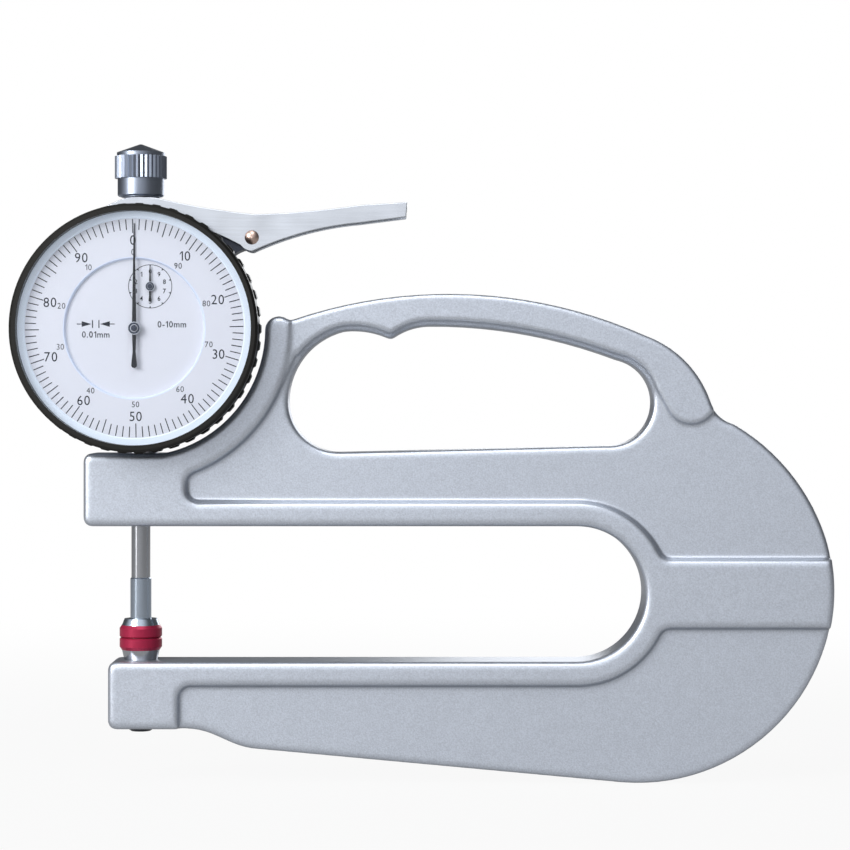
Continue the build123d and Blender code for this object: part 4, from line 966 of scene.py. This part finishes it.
@dataclass
class DialFace:
    """Printed graduations on the turning ring and marks on the fixed dial.

    Radii, heights and places are in millimetres, measured from the dial's centre or the
    counter's hub. turned_back and minor_shift, which is by number, are in turns.
    """

    ink_mm: float = 0.02
    divisions: int = 100
    long_every: int = 5
    number_every: int = 10
    tick_outer: float = 25.5
    tick_short: float = 23.0
    tick_long: float = 22.25
    tick_width: float = 0.225
    major_radius: float = 20.6
    major_height: float = 2.25
    minor_radius: float = 17.8
    minor_height: float = 1.36
    counter_numbers: int = 10
    counter_ring: float = 5.06
    counter_line: float = 0.15
    counter_digits: float = 3.5
    counter_height: float = 1.12
    pip_height: float = 0.55
    pip_half: float = 0.24
    bold: float = 0.02
    text_height: float = 1.5
    division_at: tuple[float, float] = (-9.1, -1.45)
    range_at: tuple[float, float] = (8.7, 0.93)
    sign: DivisionSign = DivisionSign()
    disc_radius: float = 17.3
    disc_rim_from: float = 0.99
    joint_radii: tuple[float, float, float] = (16.15, 16.5, 16.7)
    joint_steps: int = 128
    turned_back: float = 0.0026
    minor_shift: dict[int, float] = field(default_factory=lambda: {30: 0.0133, 70: -0.0133})
    centre: tuple[float, float] = (0.0, 0.0)

    def build(self) -> None:
        """Print both dials."""
        low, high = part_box("dial_ring")
        face, self.centre = low.y, middle_of((low, high))
        dress(["dial_ring"], DIAL_ENAMEL)
        self._fixed_dial()
        self._joint(face)
        printed = (
            (self._scale(face), "bezel"),
            (self._plate(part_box("inner_dial")[0].y), "frame"),
        )
        for piece, body in printed:
            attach(piece, body)
            report(piece)

    def at(self, x: float, z: float) -> tuple[float, float]:
        """A place on the dial, from millimetres off its centre, in metres."""
        return (self.centre[0] + x * MM, self.centre[1] + z * MM)

    def stroke(self, draft: Draft, turns: float, inner: float, face: float) -> None:
        """Print one line of the scale.

        Args:
            draft: the mesh that gets it.
            turns: clockwise turns from the top.
            inner: inner radius in millimetres.
            face: depth of the surface that it lies on.
        """
        outer, half = self.tick_outer, self.tick_width / 2
        places = ((inner, -half), (outer, -half), (outer, half), (inner, half))
        corners = [around(self.centre, turns, out, side) for out, side in places]
        draft.plate(corners, face - self.ink_mm * MM, face)

    def _fixed_dial(self) -> None:
        """Fit the fixed dial closely inside the turning ring, so that only a fine joint shows."""
        low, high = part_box("inner_dial")
        rim = (high.x - low.x) / 2
        data = NODES["inner_dial"].data.copy()
        data.name = "fixed_dial"
        for vert in data.vertices:
            off_x, off_z = vert.co.x - self.centre[0], vert.co.z - self.centre[1]
            out = math.hypot(off_x, off_z)
            if out > self.disc_rim_from * rim:
                vert.co.x = self.centre[0] + off_x * self.disc_radius * MM / out
                vert.co.z = self.centre[1] + off_z * self.disc_radius * MM / out
        data.materials.clear()
        data.materials.append(DIAL_ENAMEL.material())
        disc = linked("fixed_dial", data)
        soften(disc)
        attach(disc, "frame")
        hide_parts("inner_dial")
        report(disc)

    def _joint(self, face: float) -> None:
        """Bevel the step down to the fixed dial, and paint the joint as a soft bluish shade line
        with a glow.

        Args:
            face: depth of the turning ring's face.
        """
        root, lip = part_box("inner_dial")[0].y, face + self.ink_mm * MM
        inner, outer, edge = (radius * MM for radius in self.joint_radii)
        draft = Draft()
        section = ((inner, root), (outer, lip), (edge, lip), (edge, root))
        draft.ring(self.centre, section, self.joint_steps)
        bevel = draft.finish("dial_joint", DIAL_JOINT_PAINTED_GLOW, smooth=True)
        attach(bevel, "frame")
        report(bevel)

    def _scale(self, face: float) -> bpy.types.Object:
        """Graduations and both rows of numbers on the turning ring.

        Args:
            face: depth of the ring's face.

        Returns:
            The printed scale.
        """
        draft = Draft()
        for i in range(self.divisions):
            inner = self.tick_long if i % self.long_every == 0 else self.tick_short
            self.stroke(draft, i / self.divisions - self.turned_back, inner, face)
        front = face - self.ink_mm * MM
        for value in range(0, self.divisions, self.number_every):
            turns = value / self.divisions
            shift = self.minor_shift.get(value, 0.0)
            major = around(self.centre, turns - self.turned_back, self.major_radius)
            minor = around(self.centre, shift - turns - self.turned_back, self.minor_radius)
            draft.lettering(str(value), self.major_height * MM, major, front, face)
            draft.lettering(str(value), self.minor_height * MM, minor, front, face)
        return draft.finish("dial_scale_print", DIAL_INK)

    def _plate(self, face: float) -> bpy.types.Object:
        """Counter circle, division sign and range on the fixed dial.

        Args:
            face: depth of the dial's face.

        Returns:
            The printed marks.
        """
        draft = Draft()
        front = face - self.ink_mm * MM
        self._counter(draft, front, face)
        self._division_sign(draft, front, face)
        for text, place in (("0.01mm", self.division_at), ("0-10mm", self.range_at)):
            height = self.text_height * MM
            draft.lettering(text, height, self.at(*place), front, face, self.bold / 2)
        return draft.finish("inner_dial_print", DIAL_INK)

    def _counter(self, draft: Draft, front: float, face: float) -> None:
        """Print the turn counter's circle, pips and digits, which run anticlockwise.

        Args:
            draft: the mesh that gets them.
            front: depth of the print's face.
            face: depth of the dial's face.
        """
        hub = middle_of(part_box("counter_arbor"))
        ring, line = self.counter_ring, self.counter_line * MM / 2
        draft.hoop(hub, ring * MM - line, ring * MM + line, front, face)
        pip = ((ring - self.pip_height, 0.0), (ring, self.pip_half), (ring, -self.pip_half))
        for value in range(self.counter_numbers):
            turns = -value / self.counter_numbers
            draft.plate([around(hub, turns, out, side) for out, side in pip], front, face)
            place = around(hub, turns, self.counter_digits)
            draft.lettering(str(value), self.counter_height * MM, place, front, face, self.bold)

    def _division_sign(self, draft: Draft, front: float, face: float) -> None:
        """Print two arrows that point at two bars, the sign for one division.

        Args:
            draft: the mesh that gets them.
            front: depth of the print's face.
            face: depth of the dial's face.
        """
        sign = self.sign
        middle_x, middle_z = sign.middle
        for side in (-1, 1):
            bar_x = middle_x + side * sign.bar_off
            left_x, right_x = bar_x - sign.bar_width / 2, bar_x + sign.bar_width / 2
            tip_x = bar_x + side * sign.bar_width
            back_x = tip_x + side * sign.head
            end_x = middle_x + side * sign.shaft_end
            bar = (
                (left_x, -sign.half_bar), (right_x, -sign.half_bar),
                (right_x, sign.half_bar), (left_x, sign.half_bar),
            )
            arrow = (
                (tip_x, 0.0), (back_x, sign.half_head), (back_x, sign.half_shaft),
                (end_x, sign.half_shaft), (end_x, -sign.half_shaft),
                (back_x, -sign.half_shaft), (back_x, -sign.half_head),
            )
            for outline in (bar, arrow):
                draft.plate([self.at(x, middle_z + z) for x, z in outline], front, face)


@dataclass(frozen=True)
class Hand:
    """Sizes of one pointer in millimetres, measured from its axis."""

    name: str
    node: str
    arbor: str
    body: str
    tip: float
    tip_half: float
    root_half: float
    waist: float
    waist_half: float
    tail: float
    tail_half: float
    hub: float
    hub_height: float


@dataclass
class Pointers:
    """Main pointer and counter hand, each with a turned hub.

    hub_turns are a hub's corners from its rim inwards, each as a share of its radius and
    whether it lies one step low. bright_rings are the shares between which a light ring is laid on
    the hub as a painted highlight.
    """

    main: Hand = Hand(
        "main_pointer", "pointer", "centre_arbor", "pointer", tip=24.5, tip_half=0.09,
        root_half=0.52, waist=5.6, waist_half=0.34, tail=9.3, tail_half=0.68, hub=1.5,
        hub_height=0.42,
    )
    small: Hand = Hand(
        "counter_pointer", "counter_hand", "counter_arbor", "counter", tip=4.8, tip_half=0.08,
        root_half=0.27, waist=2.2, waist_half=0.2, tail=3.6, tail_half=0.34, hub=1.1,
        hub_height=0.3,
    )
    arbors: tuple[str, ...] = ("centre_arbor", "counter_arbor")
    blade_mm: float = 0.2
    tail_steps: int = 12
    step_mm: float = 0.07
    hub_steps: int = 64
    ring_steps: int = 48
    hub_turns: tuple[tuple[float, bool], ...] = (
        (0.66, False), (0.6, True), (0.5, True), (0.44, False), (0.3, False), (0.22, True),
        (0.0, True),
    )
    bright_rings: tuple[tuple[float, float], ...] = ((0.9, 1.0), (0.5, 0.6), (0.16, 0.3))

    def build(self) -> None:
        """Make both pointers and dress their arbors."""
        dress(self.arbors, HUB_STEEL)
        polish(self.arbors)
        for hand in (self.main, self.small):
            self._blade(hand)
            self._hub(hand)

    def _blade(self, hand: Hand) -> None:
        """Make a pointer's tapered blade with its waisted, round-ended tail.

        Args:
            hand: the pointer's sizes.
        """
        x, z = middle_of(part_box(hand.arbor))
        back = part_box(hand.node)[1].y
        right = [(hand.tip_half, hand.tip), (hand.root_half, 0.0), (hand.waist_half, -hand.waist)]
        left = [(-a, b) for a, b in reversed(right)]
        half, middle = hand.tail_half, -hand.tail + hand.tail_half
        for i in range(self.tail_steps + 1):
            angle = math.pi * i / self.tail_steps
            right.append((half * math.cos(angle), middle - half * math.sin(angle)))
        outline = [(x + a * MM, z + b * MM) for a, b in right + left]
        draft = Draft()
        draft.plate(outline, back - self.blade_mm * MM, back)
        blade = draft.finish(hand.name, POINTER_LACQUER)
        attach(blade, hand.body)
        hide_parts(hand.node)
        report(blade)

    def _hub(self, hand: Hand) -> None:
        """Make a pointer's dark turned hub with painted highlights: a light edge, ring and centre.

        Args:
            hand: the pointer's sizes.
        """
        x, z = middle_of(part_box(hand.arbor))
        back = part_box(hand.node)[1].y
        placed = Matrix.Translation((x, back, z)) @ Matrix.Rotation(math.pi / 2, 4, "X")
        rim, top, step = hand.hub * MM, hand.hub_height * MM, self.step_mm * MM
        profile = [(0.0, 0.0), (rim, 0.0), (rim, top - step), (rim - step, top)]
        profile += [(share * rim, top - step if low else top) for share, low in self.hub_turns]
        draft = Draft()
        draft.turned(profile, placed, self.hub_steps)
        hub = draft.finish(hand.name + "_hub", HUB_STEEL, smooth=True)
        # Light rings laid on the hub: painted highlights where the turned rings would catch the
        # light.
        bright = Draft()
        near, far = back - top - step / 2, back - top + step
        for inner, outer in self.bright_rings:
            bright.hoop((x, z), inner * rim, outer * rim, near, far, self.ring_steps)
        rings = bright.finish(hand.name + "_hub_highlight_rings", HUB_PAINTED_HIGHLIGHT)
        for piece in (hub, rings):
            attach(piece, hand.body)
            report(piece)


@dataclass
class Movement:
    """Plates, wheels, pillars, springs and jewels inside the case."""

    brass: tuple[str, ...] = (
        "movement_plate", "gear_bridge", "rear_bridge", "front_pillars", "rear_pillars",
        "rack_wheel", "take_up_wheel", "hairspring_collet", "hairspring_stud",
    )
    steel: tuple[str, ...] = (
        "rack_arbor", "bridge_screws", "hairspring", "spring_peg", "return_spring",
    )

    def build(self) -> None:
        """Dress the movement."""
        dress(self.brass, BRUSHED_BRASS)
        dress(self.steel, GROUND_STEEL)
        dress(["jewel_bearings"], RUBY)
        polish((*self.brass, *self.steel, "jewel_bearings"))


@dataclass(frozen=True)
class SoftBox:
    """One rectangular lamp: its lengths in metres, its power in watts and its colour."""

    place: tuple[float, float, float]
    aim: tuple[float, float, float]
    width: float
    height: float
    watts: float
    colour: str = "#FFFFFF"


class Light(Enum):
    """The studio's lamps."""

    KEY = SoftBox((-0.40, -0.46, 0.32), (0.03, 0.0, 0.04), 0.34, 0.34, 2.9)
    STRIP = SoftBox((-0.56, -0.46, 0.22), (0.00, 0.0, 0.05), 0.15, 0.62, 0.9)
    TOP = SoftBox((0.05, -0.40, 0.72), (0.05, 0.0, 0.05), 0.4, 0.4, 1.4, "#FAFCFF")
    BACK = SoftBox((0.30, 0.80, 0.28), (0.06, 0.0, 0.04), 0.5, 0.5, 1.8, "#FAFCFF")


@dataclass
class Studio:
    """Plain pale floor, soft light and the camera.

    Lengths are in metres unless a name says otherwise. The floor turns from floor_white near the
    gauge to pure white far from it, and metal sees only a share of that white. The room is
    bright towards bright_side and dark behind. The camera stands distance_mm in front of the
    gauge, where the picture is frame_width_mm wide, and the picture is moved up by rise_px.
    """

    floor_gap_mm: float = 0.1
    floor_size: float = 60.0
    floor_white: float = 0.93
    floor_matt: float = 0.34
    floor_mirrored: float = 0.22
    world_mirrored: float = 0.06
    fade_near: float = 0.12
    fade_far: float = 0.50
    bright_side: tuple[float, float, float] = (-0.42, -0.78, 0.46)
    dark_from: float = 0.2
    dark_level: float = 0.05
    bright_level: float = 1.1
    room_colour: str = "#F3F6FC"
    distance_mm: float = 620.0
    frame_width_mm: float = 203.15
    eye_x_mm: float = 67.9
    eye_z_mm: float = 57.1
    sensor_mm: float = 36.0
    rise_px: float = 27.0
    image_px: float = 850.0

    def build(self) -> None:
        """Make the floor, the world, the lamps and the camera."""
        self._floor()
        self._world()
        for light in Light:
            self._lamp(light)
        self._camera()
        bpy.context.scene.view_settings.view_transform = "Standard"

    def _seen(self, tree: bpy.types.NodeTree, glossy: float) -> bpy.types.NodeSocket:
        """How much of the white background a ray sees: all of it for the camera and glass.

        Args:
            tree: the nodes of the floor or the world.
            glossy: the share that metal sees of it.

        Returns:
            The socket with the share.
        """
        path = add_node(tree, "ShaderNodeLightPath")
        either = add_node(
            tree, "ShaderNodeMath",
            {0: path.outputs["Is Camera Ray"], 1: path.outputs["Is Transmission Ray"]},
            operation="MAXIMUM",
        )
        mirrored = add_node(
            tree, "ShaderNodeMath", {0: path.outputs["Is Glossy Ray"], 1: glossy},
            operation="MULTIPLY",
        )
        share = add_node(
            tree, "ShaderNodeMath", {0: either.outputs["Value"], 1: mirrored.outputs["Value"]},
            operation="MAXIMUM",
        )
        return share.outputs["Value"]

    def _floor(self) -> None:
        """Make a white floor that keeps the object's shadow."""
        size = self.floor_size
        data = bpy.data.meshes.new("floor")
        height = CAD_BOX[0][2] - self.floor_gap_mm * MM
        signs = ((-1, -1), (1, -1), (1, 1), (-1, 1))
        data.from_pydata([(size * x, size * y, height) for x, y in signs], [], [(0, 1, 2, 3)])
        floor = linked("floor", data)
        made = new_material("studio_floor_matt_white")
        tree = made.node_tree
        grey = self.floor_matt
        matt = add_node(tree, "ShaderNodeBsdfDiffuse", {"Color": (grey, grey, grey, 1.0)})
        glow = add_node(tree, "ShaderNodeEmission", {"Color": WHITE, "Strength": 1.0})
        place = add_node(tree, "ShaderNodeTexCoord")
        away = add_node(
            tree, "ShaderNodeVectorMath",
            {0: place.outputs["Object"], 1: (self.eye_x_mm * MM, 0.0, height)},
            operation="DISTANCE",
        )
        fade = add_node(
            tree, "ShaderNodeMapRange",
            {
                "Value": away.outputs["Value"],
                "From Min": self.fade_near, "From Max": self.fade_far,
                "To Min": self.floor_white, "To Max": 1.0,
            },
            interpolation_type="SMOOTHSTEP",
        )
        share = add_node(
            tree, "ShaderNodeMath",
            {0: self._seen(tree, self.floor_mirrored), 1: fade.outputs["Result"]},
            operation="MULTIPLY",
        )
        both = add_node(
            tree, "ShaderNodeMixShader",
            {0: share.outputs["Value"], 1: matt.outputs["BSDF"], 2: glow.outputs["Emission"]},
        )
        add_node(tree, "ShaderNodeOutputMaterial", {"Surface": both.outputs["Shader"]})
        data.materials.append(made)

    def _world(self) -> None:
        """Make a white background with a gentler light for the object."""
        world = bpy.data.worlds.new("studio")
        bpy.context.scene.world = world
        world.use_nodes = True
        tree = world.node_tree
        tree.nodes.clear()
        place = add_node(tree, "ShaderNodeTexCoord")
        towards = add_node(
            tree, "ShaderNodeVectorMath",
            {0: place.outputs["Generated"], 1: Vector(self.bright_side).normalized()},
            operation="DOT_PRODUCT",
        )
        room = add_node(
            tree, "ShaderNodeMapRange",
            {
                "Value": towards.outputs["Value"],
                "From Min": self.dark_from, "From Max": 1.0,
                "To Min": self.dark_level, "To Max": self.bright_level,
            },
            interpolation_type="SMOOTHSTEP",
        )
        soft = add_node(
            tree, "ShaderNodeBackground",
            {"Color": linear(self.room_colour), "Strength": room.outputs["Result"]},
        )
        white = add_node(tree, "ShaderNodeBackground", {"Color": WHITE, "Strength": 1.0})
        both = add_node(
            tree, "ShaderNodeMixShader",
            {
                0: self._seen(tree, self.world_mirrored),
                1: soft.outputs["Background"], 2: white.outputs["Background"],
            },
        )
        add_node(tree, "ShaderNodeOutputWorld", {"Surface": both.outputs["Shader"]})

    def _lamp(self, light: Light) -> None:
        """Make one soft box.

        Args:
            light: which lamp.
        """
        box = light.value
        data = bpy.data.lights.new(light.name.lower(), "AREA")
        data.shape = "RECTANGLE"
        data.size = box.width
        data.size_y = box.height
        data.energy = box.watts
        data.color = linear(box.colour)[:3]
        lamp = linked(light.name.lower(), data)
        lamp.location = box.place
        beam = Vector(box.aim) - Vector(box.place)
        lamp.rotation_euler = beam.to_track_quat("-Z", "Y").to_euler()

    def _camera(self) -> None:
        """Set the camera where the photograph was taken from."""
        data = bpy.data.cameras.new("camera")
        camera = linked("camera", data)
        data.sensor_width = self.sensor_mm
        data.lens = self.sensor_mm * self.distance_mm / self.frame_width_mm
        data.shift_y = -self.rise_px / self.image_px
        camera.location = (self.eye_x_mm * MM, -self.distance_mm * MM, self.eye_z_mm * MM)
        camera.rotation_euler = (math.pi / 2, 0.0, 0.0)
        bpy.context.scene.camera = camera


def write_size() -> None:
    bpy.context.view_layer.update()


def main() -> None:
    """Build every sub-assembly in order."""
    logging.basicConfig(level=logging.INFO, format="%(name)s %(message)s")
    parts = (
        CastFrame(), Contacts(), Knob(), Lever(), Case(), Bezel(), DialFace(), Pointers(),
        Movement(),
    )
    for part in parts:
        part.build()
        LOG.info("built %s", type(part).__name__)
    Studio().build()
    write_size()


if __name__ == "__main__":
    main()
